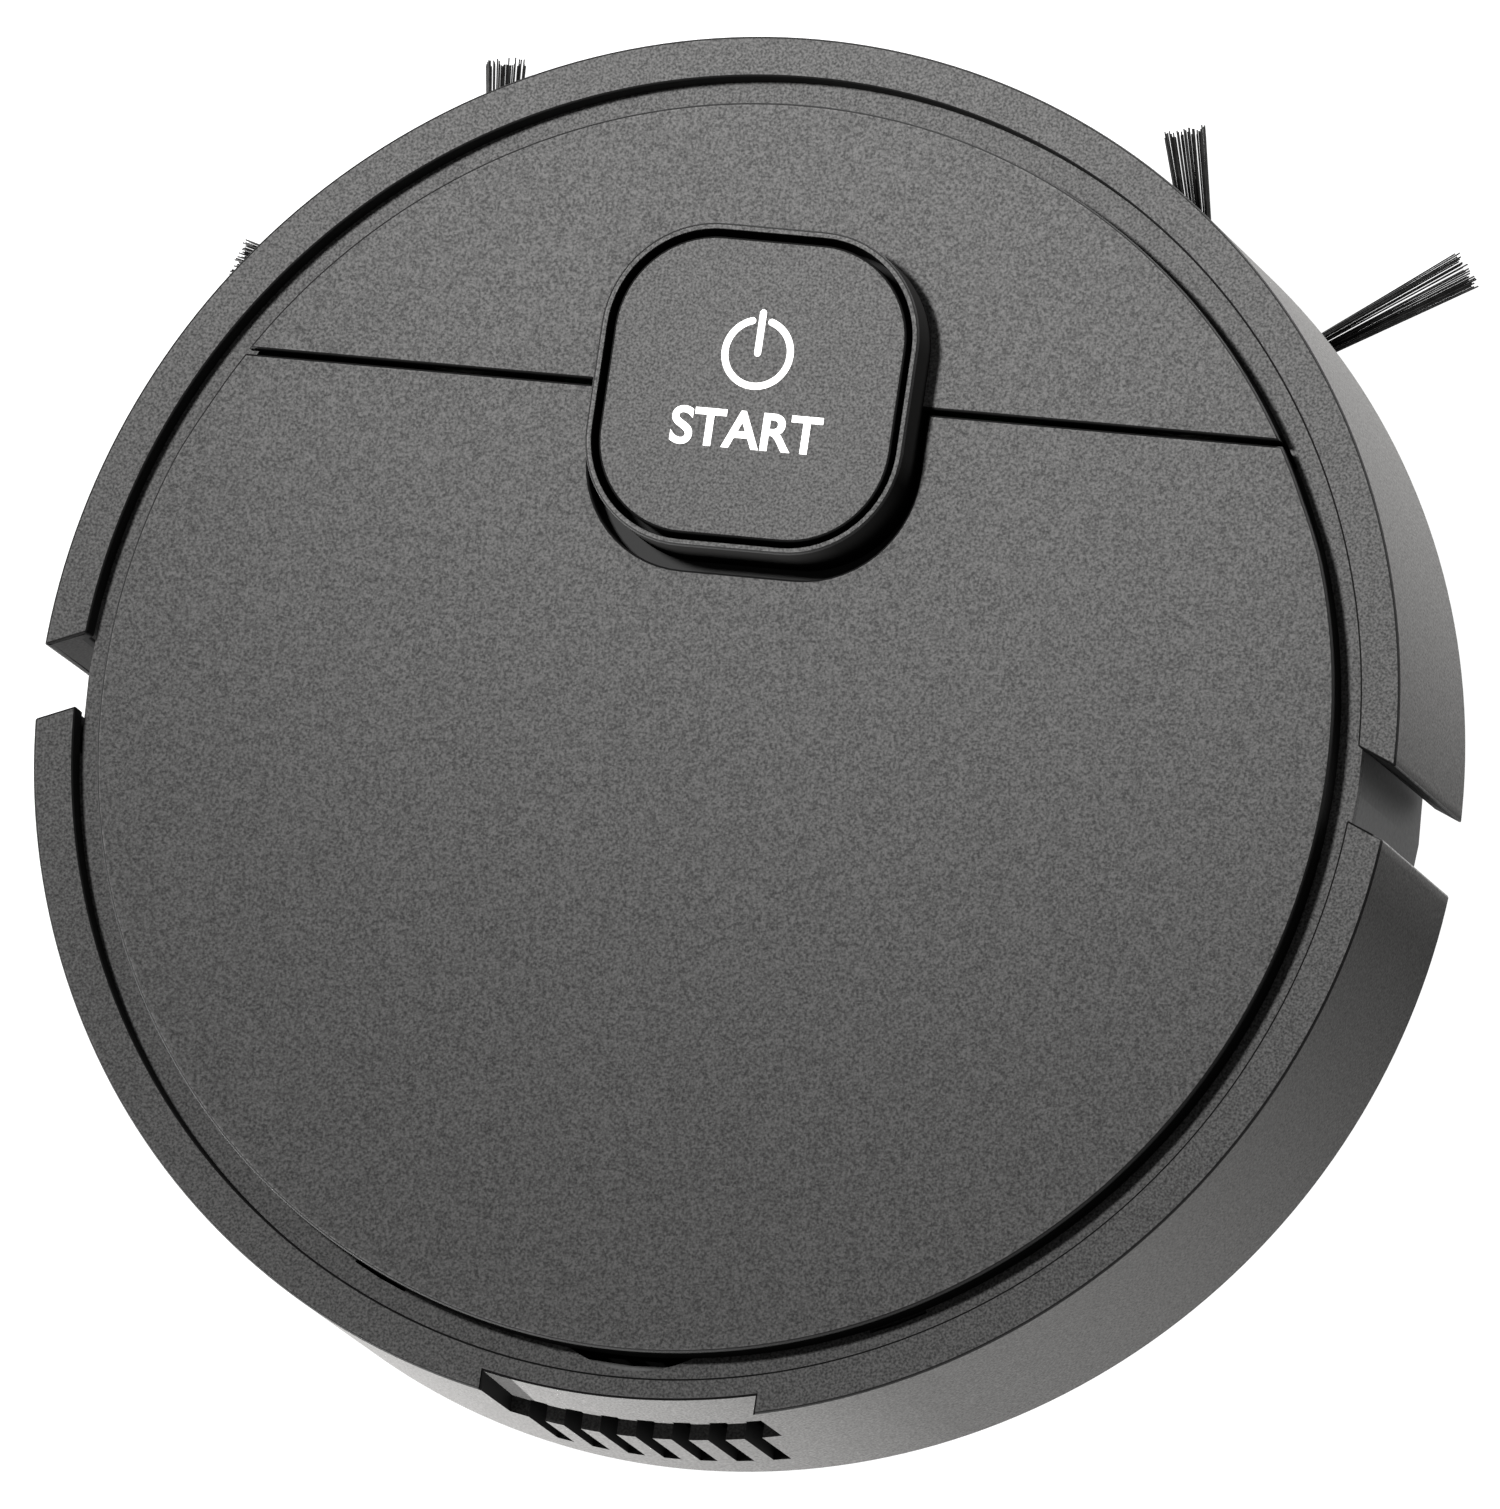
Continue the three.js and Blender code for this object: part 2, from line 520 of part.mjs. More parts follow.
function bumpSensor(side) {
  return join(
    box(side * 44, side * 52, 88, 91, 25, 37),
    box(side * 44, side * 46.8, 90, 100.2, 25, 37),
    box(side * 49.2, side * 52, 90, 100.2, 25, 37),
  );
}

const bumperSpring = (side) => tube('y', 2.3, 3.2, 104.8, 119.1, [side * SPRING_X, SPRING_Z], 16);

function chassisScrew(x, y) {
  const head = rod('z', 2.8, 6.8, 8.3, [x, y], 12);
  const slots = [
    box(x - 1.8, x + 1.8, y - 0.35, y + 0.35, 6, 7.6),
    box(x - 0.35, x + 0.35, y - 1.8, y + 1.8, 6, 7.6),
  ];
  return cut(join(head, rod('z', 1.4, 8, 24, [x, y], 8)), slots);
}

// ---- Drive ----
const PIN_X = [44, 82];

function gearbox(side) {
  const [x0, x1] = side > 0 ? [58, 77] : [-77, -58];
  const bore = side > 0 ? [69.5, 78] : [-78, -69.5];
  const arm = prismX([[0, 34.6], [30, 30.9], [30, 17.1], [0, 11.4]], x0, x1);
  return cut(
    join(arm, rod('x', 12, x0, x1, AXLE), rod('x', 7, x0, x1, PIVOT)),
    rod('x', 1.8, x0 - 1, x1 + 1, PIVOT, 12),
    rod('x', 2.3, ...bore, AXLE, 16),
  );
}

const driveMotor = (side) => join(
  rod('x', 9.6, side * 38, side * 57.7, MOTOR),
  rod('x', 4, side * 35, side * 39, MOTOR, 16),
);
const pivotPin = (side) => rod('x', 1.5, side * PIN_X[0], side * PIN_X[1], PIVOT, 12);
const suspensionSpring = (side) => tube('x', 2.4, 4.6, side * 49, side * 57.2, PIVOT, 16);

function wheelHub(side) {
  const [inner, outer] = [WHEEL_X - TYRE_W / 2 + 0.5, WHEEL_X + TYRE_W / 2 - 0.5];
  const body = rod('x', HUB_R, side * inner, side * outer, AXLE, TYRE_SIDES, true);
  const stub = rod('x', 2, side * 70, side * (inner + 1), AXLE, 12);
  const dish = rod('x', HUB_R - 2.2, side * (outer - 3), side * (outer + 1), AXLE, TYRE_SIDES, true);
  const boss = rod('x', 4, side * (outer - 4), side * (outer - 0.5), AXLE, 16);
  const spokes = [0, 1, 2, 3, 4].map((i) => {
    const spoke = new THREE.BoxGeometry(2.6, 2.4, HUB_R - 1).translate(0, 0, HUB_R / 2 - 0.5);
    spoke.rotateX((FULL * i) / 5);
    return solid(spoke.translate(side * (outer - 2.2), AXLE[0], AXLE[1]));
  });
  return join(cut(body, dish), stub, boss, spokes);
}

function tyre(side) {
  const [inner, outer] = [side * (WHEEL_X - TYRE_W / 2), side * (WHEEL_X + TYRE_W / 2)];
  const round = WHEEL_R / Math.cos(Math.PI / TYRE_SIDES); // the flats are WHEEL_R from the axle
  const body = cut(
    rod('x', round, inner, outer, AXLE, TYRE_SIDES, true),
    rod('x', HUB_R + GAP, inner - side, outer + side, AXLE, TYRE_SIDES, true),
  );
  const grooves = [];
  for (let i = 0; i < TYRE_SIDES / 2; i += 1) {
    const groove = new THREE.BoxGeometry(TYRE_W + 2, 1.4, 2).translate(0, 0, WHEEL_R);
    groove.rotateX((FULL * (i + 0.25)) / (TYRE_SIDES / 2));
    grooves.push(solid(groove.translate(side * WHEEL_X, AXLE[0], AXLE[1])));
  }
  return cut(body, grooves);
}

// ---- Caster ----
function casterFork() {
  const wheelY = CASTER_Y - CASTER_TRAIL;
  const cheeks = [-1, 1].map((side) => join(
    rod('x', 3.2, side * 5.9, side * 7.4, [wheelY, CASTER_R], 12),
    box(side * 5.9, side * 7.4, wheelY - 3, wheelY + 5, CASTER_R, 18.5),
  ));
  const body = join(
    rod('z', 3.5, 19, 33, [0, CASTER_Y], 16),
    rod('z', 11, 18.2, 20.2, [0, CASTER_Y]),
    cheeks,
  );
  return cut(body, rod('x', 1.3, -10, 10, [wheelY, CASTER_R], 12));
}

function casterWheel() {
  const centre = [CASTER_Y - CASTER_TRAIL, CASTER_R];
  const round = CASTER_R / Math.cos(Math.PI / 24);
  return cut(rod('x', round, -5.5, 5.5, centre, 24, true), rod('x', 1.3, -6, 6, centre, 12));
}

const casterAxle = () => rod('x', 1, -7.4, 7.4, [CASTER_Y - CASTER_TRAIL, CASTER_R], 12);

// ---- Side brushes ----
function brushHub(side) {
  const at = [side * BRUSH[0], BRUSH[1]];
  const body = join(rod('z', 8.8, 4, 8.2, at), rod('z', 4.5, 8, 10, at, 16));
  const shaftHole = rod('z', 1.8, 6.5, 12, at, 12);
  const screwHole = [rod('z', 3.3, 0, 5.4, at, 16), rod('z', 1.4, 5, 7, at, 12)];
  return cut(body, shaftHole, screwHole);
}

const brushScrew = (side) => {
  const at = [side * BRUSH[0], BRUSH[1]];
  return join(rod('z', 2.9, 3.6, 5.1, at, 16), rod('z', 1.1, 5, 7.3, at, 12));
};

// A rubber ring with five fans of bristles that droop towards their tips, as one closed body.
function brushBristles(side, turn) {
  const [root, tip] = [9.6, BRUSH_REACH];
  const tufts = [];
  for (let i = 0; i < BRUSH_ARMS; i += 1) {
    const fan = new THREE.CylinderGeometry(1, 1, tip - root, 4, 1, false, FULL / 8);
    fan.rotateZ(-FULL / 4).translate((root + tip) / 2, 0, 0);
    const at = fan.attributes.position;
    for (let v = 0; v < at.count; v += 1) {
      const along = (at.getX(v) - root) / (tip - root);
      const width = THREE.MathUtils.lerp(2.2, 5.6, along);
      const thick = THREE.MathUtils.lerp(1.5, 1.2, along);
      const z = THREE.MathUtils.lerp(4.4, 2.8, along) + thick * Math.sign(at.getZ(v));
      at.setXYZ(v, at.getX(v), width * at.getY(v), z);
    }
    tufts.push(solid(fan.rotateZ(rad(turn) - (FULL * i) / BRUSH_ARMS)));
  }
  const collar = ring(9.1, 11, 2.9, 6, 30);
  const star = surface(join(collar, tufts.map((tuft) => cut(tuft, disc(9.5, 0, 9, 30)))));
  return solid(star.translate(side * BRUSH[0], BRUSH[1], 0));
}

const brushMotor = (side) => {
  const at = [side * BRUSH[0], BRUSH[1]];
  return join(rod('z', 11, 12.3, 26, at), rod('z', 8, 25, 40, at, 20), rod('z', 1.5, 7.7, 13, at, 12));
};

// ---- Materials ----
const paint = (color, roughness, metalness = 0) =>
  new THREE.MeshStandardMaterial({ color, roughness, metalness });
const SHELL = () => paint(0x5f5f5e, 0.65);
const BLACK = () => paint(0x1b1b1c, 0.6);
const RUBBER = () => paint(0x121213, 0.9);
const STEEL = () => paint(0xb8b8b6, 0.3, 1);
const SMOKED = () => paint(0x2a2c30, 0.2);
const CIRCUIT = () => paint(0x1d4a2c, 0.5);
const WHITE = () => paint(0xe6e6e2, 0.8);

const robot = new THREE.Group();

function add(name, body, material, group = robot) {
  const mesh = new THREE.Mesh(surface(body), material);
  mesh.name = name;
  group.add(mesh);
}

add('chassis', chassis(), BLACK());
add('top_deck', topDeck(), SHELL());
add('rear_shell', rearShell(), SHELL());
add('bumper', bumper(), SHELL());
add('lid', lid(), SHELL());
add('front_panel', frontPanel(), SHELL());
add('button_cap', buttonCap(), SHELL());
add('button_spring', buttonSpring(), STEEL());
add('button_board', buttonBoard(), CIRCUIT());
add('power_switch', powerSwitch(), BLACK());
add('dust_bin', dustBin(), SMOKED());
add('dust_bin_cover', dustBinCover(), SMOKED());
add('hepa_filter', hepaFilter(), WHITE());
add('suction_inlet', suctionInlet(), BLACK());
add('suction_lip', suctionLip(), RUBBER());
add('fan_housing', fanHousing(), BLACK());
add('fan_motor', fanMotor(), STEEL());
add('fan_impeller', fanImpeller(), WHITE());
add('battery_pack', batteryPack(), paint(0x244a86, 0.4));
add('battery_cover', batteryCover(), BLACK());
add('main_board', mainBoard(), CIRCUIT());
add('charge_jack', chargeJack(), BLACK());
add('caster_fork', casterFork(), BLACK());
add('caster_wheel', casterWheel(), WHITE());
add('caster_axle', casterAxle(), STEEL());
for (const [name, x, y, turn] of CLIFF) {
  add(`cliff_sensor_${name}`, cliffHole(x, y, turn, 0), SMOKED());
}
for (const [name, side] of [['left', -1], ['right', 1]]) {
  add(`${name}_hinge_pin`, hingePin(side), STEEL());
  add(`${name}_bump_sensor`, bumpSensor(side), BLACK());
  add(`${name}_bumper_spring`, bumperSpring(side), STEEL());
  add(`${name}_gearbox`, gearbox(side), BLACK());
  add(`${name}_drive_motor`, driveMotor(side), STEEL());
  add(`${name}_pivot_pin`, pivotPin(side), STEEL());
  add(`${name}_suspension_spring`, suspensionSpring(side), STEEL());
  add(`${name}_wheel_hub`, wheelHub(side), BLACK());
  add(`${name}_tyre`, tyre(side), RUBBER());
  add(`${name}_brush_motor`, brushMotor(side), STEEL());
  add(`${name}_brush_hub`, brushHub(side), BLACK());
  add(`${name}_brush_bristles`, brushBristles(side, BRUSH_TURN[name]), RUBBER());
  add(`${name}_brush_screw`, brushScrew(side), STEEL());
  SCREWS.forEach(([x, y], i) => {
    add(`${name}_chassis_screw_${i + 1}`, chassisScrew(side * x, y), STEEL());
  });
}

export default robot;
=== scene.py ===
"""Looks of a round robot vacuum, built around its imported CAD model.

The frame is in metres, with the floor at z = 0, the body's axis at x = y = 0 and +Y the driving direction.
Sizes here are millimetres until Surface.make() turns them into metres.
"""

import math
import random

import bmesh
import bpy
from mathutils import Matrix, Vector


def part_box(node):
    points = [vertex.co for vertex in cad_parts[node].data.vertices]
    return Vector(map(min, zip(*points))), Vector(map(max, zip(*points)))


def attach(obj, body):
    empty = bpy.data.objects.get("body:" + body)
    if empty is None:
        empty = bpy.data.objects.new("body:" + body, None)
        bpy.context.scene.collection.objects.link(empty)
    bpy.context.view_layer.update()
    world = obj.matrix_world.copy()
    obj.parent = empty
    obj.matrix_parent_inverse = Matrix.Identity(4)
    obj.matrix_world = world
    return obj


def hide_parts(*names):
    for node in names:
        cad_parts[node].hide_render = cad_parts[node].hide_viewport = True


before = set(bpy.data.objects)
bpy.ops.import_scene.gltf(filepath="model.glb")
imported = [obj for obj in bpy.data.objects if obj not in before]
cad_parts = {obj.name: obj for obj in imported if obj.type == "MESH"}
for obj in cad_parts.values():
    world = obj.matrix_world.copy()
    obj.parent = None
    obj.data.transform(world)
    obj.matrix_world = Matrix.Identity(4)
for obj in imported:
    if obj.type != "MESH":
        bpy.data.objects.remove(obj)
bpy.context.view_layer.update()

random.seed(4)
MM = 0.001
TURN = 2 * math.pi


def high(node):
    """The highest corner of a CAD node, in millimetres."""
    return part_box(node)[1] / MM


def low(node):
    """The lowest corner of a CAD node, in millimetres."""
    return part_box(node)[0] / MM


# ---- Sizes that come from the frame ----
BODY_R = high("bumper").y
RIM_Z = high("bumper").z
UNDER_Z = low("bumper").z
LID_R = high("lid").x
TOP_Z = high("lid").z
LID_FRONT = high("lid").y
BOSS_Y = (high("button_cap").y + low("button_cap").y) / 2
BOSS_HALF = BOSS_Y - low("front_panel").y
BOSS_TOP = high("front_panel").z
CAP_HALF = high("button_cap").x
CAP_TOP = high("button_cap").z
WHEEL_R = (high("right_tyre").z - low("right_tyre").z) / 2
WHEEL_Z = (high("right_tyre").z + low("right_tyre").z) / 2
BRUSH = [(high("right_brush_hub")[i] + low("right_brush_hub")[i]) / 2 for i in (0, 1)]

# ---- The CAD model's other sizes, which its boxes don't give ----
FOOT_R = 123.7  # of the outer wall, at its lower edge
WALL = 2
RIM_INNER_R = 117.7
RIM_T = 2
LIP_T = 1.5  # of the short wall that faces the lid
DECK_Z = 50.5
GAP = 0.3
PLATE_T = 2.2
PANEL_R = 112.8
SEAM_W = 1
CORNER_R = 112.7  # of the lid, near its front corners
BUMPER_END_Y = 6.9
REAR_END_Y = -6.46  # the end faces meet the inner edge of the rim here,
END_SLOPE = -0.41  # and run back this much for each millimetre outwards
BOSS_CORNER = 20
BOSS_WALL = 1.2
CUTOUT_HALF = 30.5  # the lid's room for the boss
CUTOUT_BACK = 27.5
HINGE_X = 62
HINGE = (55.5, 53.1)
EAR_R = 1.9  # of the ears round the hinge pin
BRUSH_TURN = {"left": 168.4, "right": 106}  # heading of the first arm, in degrees
BRUSH_ARMS = 5
BRUSH_REACH = 51  # of the arms, from the brush's axis

EDGE = 0.4  # radius of the rounded edges on the shell
FILLET = [TURN / 4 * k / 3 for k in range(4)]  # angles on a rounded edge
SMOOTH = 240  # facets round the body


# ---- Materials ----
GRAIN_HEIGHT = 0.05
DECK_SHADE_LIGHTNESS = 0.006  # lightness of the painted shade on the deck under the covers


def material(name, colour, roughness, metallic=0.0, specular=0.5):
    made = bpy.data.materials.new(name)
    made.use_nodes = True
    shader = made.node_tree.nodes["Principled BSDF"]
    shader.inputs["Base Color"].default_value = (*colour, 1)
    shader.inputs["Roughness"].default_value = roughness
    shader.inputs["Metallic"].default_value = metallic
    shader.inputs["Specular IOR Level"].default_value = specular
    return made


def speckle(made, dark, light, grain, bump):
    """Gives a material a fine two-tone grain with a little relief, by the place on the object."""
    tree = made.node_tree
    shader = tree.nodes["Principled BSDF"]
    place = tree.nodes.new("ShaderNodeTexCoord")
    noise = tree.nodes.new("ShaderNodeTexNoise")
    noise.inputs["Scale"].default_value = 1 / (grain * MM)
    noise.inputs["Detail"].default_value = 2
    tree.links.new(place.outputs["Object"], noise.inputs["Vector"])
    ramp = tree.nodes.new("ShaderNodeValToRGB")
    ramp.color_ramp.elements[0].position = 0.3  # the grain is soft between these two places
    ramp.color_ramp.elements[0].color = (*dark, 1)
    ramp.color_ramp.elements[1].position = 0.7
    ramp.color_ramp.elements[1].color = (*light, 1)
    tree.links.new(noise.outputs["Fac"], ramp.inputs["Fac"])
    tree.links.new(ramp.outputs["Color"], shader.inputs["Base Color"])
    relief = tree.nodes.new("ShaderNodeBump")
    relief.inputs["Strength"].default_value = bump
    relief.inputs["Distance"].default_value = GRAIN_HEIGHT * MM
    tree.links.new(noise.outputs["Fac"], relief.inputs["Height"])
    tree.links.new(relief.outputs["Normal"], shader.inputs["Normal"])
    return made


def grey(value):
    return (value, value * 0.985, value * 0.97)


def speckled(name, base, dark, light, grain, bump, roughness, metallic=0.0, specular=0.5):
    """A grained material in greys; grain is the size of its spots in millimetres."""
    made = material(name, grey(base), roughness, metallic, specular)
    return speckle(made, grey(dark), grey(light), grain, bump)


# The shell is taken to be one plastic. The darker versions for walls, ends, gaps and edge lines imitate shade.
SHELL = speckled("shell_speckled", 0.05, 0.013, 0.087, 0.45, 0.3, 0.65, specular=0.2)
SIDE = speckled("shell_side", 0.05, 0.036, 0.064, 0.45, 0.15, 0.5, specular=0.0)
SHADE_LINE = material("shell_edge_painted_shade", grey(0.004), 0.8, specular=0.1)
SHADE_WALL = material("shell_shadow_wall", grey(0.004), 0.7, specular=0.1)
END_SHADE = speckled("shell_end_painted_shade", 0.01, 0.003, 0.019, 0.45, 0.3, 0.7, specular=0.1)
# Painted shade on the ledge in the exhaust recess, darker than the shell.
LEDGE_SHADE = speckled("shell_ledge_painted_shade", 0.025, 0.01, 0.04, 0.45, 0.3, 0.7, specular=0.1)
# Painted shade on the boss's outer wall, almost black.
BOSS_SHADE = material("boss_side_painted_shade", grey(0.0045), 0.6, specular=0.0)
CHASSIS = speckled("chassis_black", 0.03, 0.02, 0.04, 0.9, 0.3, 0.6)
# Painted shade: the fan housing is almost black, so that what shows through the openings stays dark.
DEEP_SHADE = material("deep_painted_shade", grey(0.0006), 0.8, specular=0.0)
BLACK = speckled("black_plastic", 0.02, 0.015, 0.027, 0.7, 0.2, 0.5)
SMOKED = speckled("smoked_plastic", 0.03, 0.025, 0.033, 4, 0.02, 0.15)
TYRE = speckled("tyre_rubber", 0.02, 0.013, 0.025, 1, 0.4, 0.85)
RUBBER = speckled("soft_rubber", 0.02, 0.012, 0.024, 1, 0.3, 0.8)
BRISTLE = speckled("bristle_nylon", 0.006, 0.004, 0.009, 2, 0.05, 0.28, specular=0.25)
STEEL = speckled("steel", 0.6, 0.5, 0.65, 2, 0.05, 0.3, metallic=1)
MOTOR_CAN = speckled("motor_can", 0.5, 0.42, 0.55, 2, 0.05, 0.35, metallic=1)
PAPER = speckled("filter_paper", 0.8, 0.72, 0.85, 0.6, 0.5, 0.9)
NYLON = speckled("white_nylon", 0.75, 0.7, 0.78, 2, 0.05, 0.4)
FAN = speckled("fan_plastic", 0.7, 0.65, 0.73, 2, 0.05, 0.4)
GREEN = material("circuit_board", (0.02, 0.11, 0.045), 0.4)
BOARD = speckle(GREEN, (0.016, 0.09, 0.036), (0.024, 0.13, 0.05), 3, 0.1)
BLUE = material("battery_wrap", (0.03, 0.09, 0.32), 0.25)
SLEEVE = speckle(BLUE, (0.025, 0.08, 0.29), (0.034, 0.1, 0.34), 3, 0.03)
PRINT = material("white_print", grey(0.95), 0.5)

# Materials of the ring's halves, and the numbers that their faces are painted with. The edge lines, the wall
# that faces the lid, the end faces and the ledge are painted shade.
RING_SET = (SHELL, SHADE_LINE, SIDE, SHADE_WALL, END_SHADE, LEDGE_SHADE)
ON_TOP, ON_SHADE_LINE, ON_SIDE, ON_INNER_SHADE, ON_END_SHADE, ON_LEDGE_SHADE = range(6)
# Materials of the covers and the button. All but the first are painted shade: edge lines, walls and the boss's
# outer wall.
SHELL_SET = (SHELL, SHADE_LINE, SHADE_WALL)
PANEL_SET = (*SHELL_SET, BOSS_SHADE)
ON_WALL_SHADE, ON_BOSS_SHADE = 2, 3  # after ON_TOP and ON_SHADE_LINE

DECK_SHADE_R = 112.9  # inside this, under the lid and the front panel, the deck is painted black as shade


def painted_shade_inside(source, name, radius):
    """A copy of a speckled material that turns black nearer to the body's axis than the radius, as painted
    shade.
    """
    made = source.copy()
    made.name = name
    tree = made.node_tree
    paint = tree.nodes["Principled BSDF"].inputs["Base Color"]
    outer = paint.links[0].from_socket
    place = tree.nodes.new("ShaderNodeTexCoord")
    level = tree.nodes.new("ShaderNodeVectorMath")
    level.operation = "MULTIPLY"
    level.inputs[1].default_value = (1, 1, 0)
    length = tree.nodes.new("ShaderNodeVectorMath")
    length.operation = "LENGTH"
    inside = tree.nodes.new("ShaderNodeMath")
    inside.operation = "LESS_THAN"
    inside.inputs[1].default_value = radius * MM
    mix = tree.nodes.new("ShaderNodeMix")
    mix.data_type = "RGBA"
    mix.inputs["B"].default_value = (*grey(DECK_SHADE_LIGHTNESS), 1)
    tree.links.new(place.outputs["Object"], level.inputs[0])
    tree.links.new(level.outputs["Vector"], length.inputs[0])
    tree.links.new(length.outputs["Value"], inside.inputs[0])
    tree.links.new(inside.outputs["Value"], mix.inputs["Factor"])
    tree.links.new(outer, mix.inputs["A"])
    tree.links.new(mix.outputs["Result"], paint)
    return made


DECK_WITH_SHADE = painted_shade_inside(SHELL, "deck_speckled_painted_shade", DECK_SHADE_R)


# ---- Meshes ----
SHARP = 32  # degrees between faces from which an edge looks sharp
WELD = 2e-6  # metres
CLOSE = 1e-6  # millimetres


class Surface:
    """Points in millimetres and faces between them, each face with the number of its material."""

    def __init__(self):
        self.mesh = bmesh.new()

    def points(self, places):
        return [self.mesh.verts.new(Vector(place) * MM) for place in places]

    def face(self, corners, paint=0):
        self.mesh.faces.new(corners).material_index = paint

    def strip(self, one, other, paints=None):
        """Quads between two closed rows of points; paints gives the material of the quad after each point."""
        for i in range(len(one)):
            j = (i + 1) % len(one)
            self.face((one[i], one[j], other[j], other[i]), (paints or {}).get(i, 0))

    def tube(self, loops, paints=None, end_paint=0):
        """Joins closed loops in a row, and closes both ends."""
        rows = [self.points(loop) for loop in loops]
        for one, other in zip(rows, rows[1:]):
            self.strip(one, other, paints)
        self.face(rows[0], end_paint)
        self.face(rows[-1], end_paint)

    def make(self, name, *materials):
        bmesh.ops.remove_doubles(self.mesh, verts=self.mesh.verts, dist=WELD)
        bmesh.ops.recalc_face_normals(self.mesh, faces=self.mesh.faces)
        data = bpy.data.meshes.new(name)
        self.mesh.to_mesh(data)
        self.mesh.free()
        for made in materials:
            data.materials.append(made)
        made = bpy.data.objects.new(name, data)
        bpy.context.scene.collection.objects.link(made)
        smooth(made)
        return made


def smooth(piece):
    piece.data.shade_smooth()
    piece.data.set_sharp_from_angle(angle=math.radians(SHARP))


def combine(kind, piece, *tools):
    """Cuts the tools from the piece, or joins them to it, and removes them."""
    for tool in tools:
        step = piece.modifiers.new("step", "BOOLEAN")
        step.operation = kind
        step.solver = "EXACT"
        step.object = tool
    bpy.context.view_layer.update()
    evaluated = piece.evaluated_get(bpy.context.evaluated_depsgraph_get())
    data = bpy.data.meshes.new_from_object(evaluated)
    old = piece.data
    piece.modifiers.clear()
    piece.data = data
    bpy.data.meshes.remove(old)
    for tool in tools:
        bpy.data.objects.remove(tool)
    smooth(piece)
    return piece


def rounded(corners, steps=4, border=0):
    """A closed outline of (x, y, radius) corners with arcs, and the numbers of its arc segments.

    A border adds a point that far from both ends of each arc, so that the flats between them look flat.
    """
    outline = []
    arcs = set()
    for i, (x, y, radius) in enumerate(corners):
        corner = Vector((x, y))
        if not radius:
            outline.append(corner)
            continue
        before = (Vector(corners[i - 1][:2]) - corner).normalized()
        after = (Vector(corners[(i + 1) % len(corners)][:2]) - corner).normalized()
        half = before.angle(after) / 2
        centre = corner + (before + after).normalized() * radius / math.sin(half)
        start = corner + before * radius / math.tan(half) - centre
        end = corner + after * radius / math.tan(half) - centre
        if border:
            outline.append(centre + start + before * border)
        for k in range(steps + 1):
            outline.append(centre + start.normalized().slerp(end.normalized(), k / steps) * radius)
            if k < steps:
                arcs.add(len(outline) - 1)
        if border:
            outline.append(centre + end + after * border)
    return outline, arcs


def inset(outline, distance):
    """A closed outline, run anticlockwise, moved inwards."""
    moved = []
    count = len(outline)
    for i, point in enumerate(outline):
        one = point - outline[i - 1]
        two = outline[(i + 1) % count] - point
        if one.length < CLOSE or two.length < CLOSE:
            one = two = outline[(i + 1) % count] - outline[i - 1]
        one.normalize()
        two.normalize()
        normal = Vector((-one.y - two.y, one.x + two.x))
        scale = 2 / max(normal.length_squared, 0.5)
        moved.append(point + normal * distance * scale)
    return moved


def anticlockwise(outline):
    area = sum(a.cross(b) for a, b in zip(outline, outline[1:] + outline[:1]))
    return outline if area > 0 else outline[::-1]


def arc(radius, start, end, steps, centre=(0, 0)):
    """Points on an arc between two angles in degrees."""
    angles = [math.radians(start + (end - start) * k / steps) for k in range(steps + 1)]
    return [Vector((centre[0] + radius * math.cos(a), centre[1] + radius * math.sin(a))) for a in angles]


def at_height(outline, z):
    return [(point.x, point.y, z) for point in outline]


def slab(outline, bottom, top, name, materials):
    """A plate with its rounded top edge in the second material and its wall in the third: a painted shade line
    and painted shade.
    """
    outline = anticlockwise(outline)
    surface = Surface()
    levels = [(0, bottom)]
    levels += [(EDGE * (1 - math.cos(t)), top - EDGE * (1 - math.sin(t))) for t in FILLET]
    levels.append((EDGE * 2, top))  # a flat border keeps the shading of the top face even
    rows = [surface.points(at_height(inset(outline, distance), z)) for distance, z in levels]
    for (_, z), one, other in zip(levels, rows, rows[1:]):
        paint = ON_TOP if other is rows[-1] else ON_SHADE_LINE if z > top - EDGE - CLOSE else ON_WALL_SHADE
        surface.strip(one, other, dict.fromkeys(range(len(outline)), paint))
    surface.face(rows[0], ON_WALL_SHADE)
    surface.face(rows[-1])
    return surface.make(name, *materials)


def turned(corners, name, materials, sides, axis="Z"):
    """A closed (radius, height, rounding) outline turned about an axis."""
    outline, _ = rounded(corners)
    surface = Surface()
    rows = []
    for k in range(sides):
        a = TURN * k / sides
        c, s = math.cos(a), math.sin(a)
        if axis == "Z":
            loop = [(p.x * c, p.x * s, p.y) for p in outline]
        else:
            loop = [(p.y, p.x * c, p.x * s) for p in outline]
        rows.append(surface.points(loop))
    for one, other in zip(rows, rows[1:] + rows[:1]):
        surface.strip(one, other)
    return surface.make(name, *materials)


def block(x0, x1, y0, y1, z0, z1, name, materials, paint=0):
    """A box for cutting or joining, with its edges square."""
    surface = Surface()
    corners = [(x0, y0), (x1, y0), (x1, y1), (x0, y1)]
    loops = [[(x, y, z) for x, y in corners] for z in (z0, z1)]
    surface.tube(loops, dict.fromkeys(range(4), paint), end_paint=paint)
    return surface.make(name, *materials)


# ---- The two halves of the outer ring ----
def wall_r(z):
    return FOOT_R + (BODY_R - FOOT_R) * (z - UNDER_Z) / (RIM_Z - UNDER_Z)


def end_angle(radius, y):
    """Where a ring's end face, which runs backwards on its way out, meets a circle, on the right side."""
    slope = 1 + END_SLOPE**2
    start = y - END_SLOPE * RIM_INNER_R
    half = END_SLOPE * start
    x = (-half + math.sqrt(half**2 - slope * (start**2 - radius**2))) / slope
    return math.atan2(start + END_SLOPE * x, x)


END_SHADE_BORDER = 0.7  # width of the painted shade border on the ring's end faces
END_WALL = 0.6  # what stands behind the ring's inner face at its ends


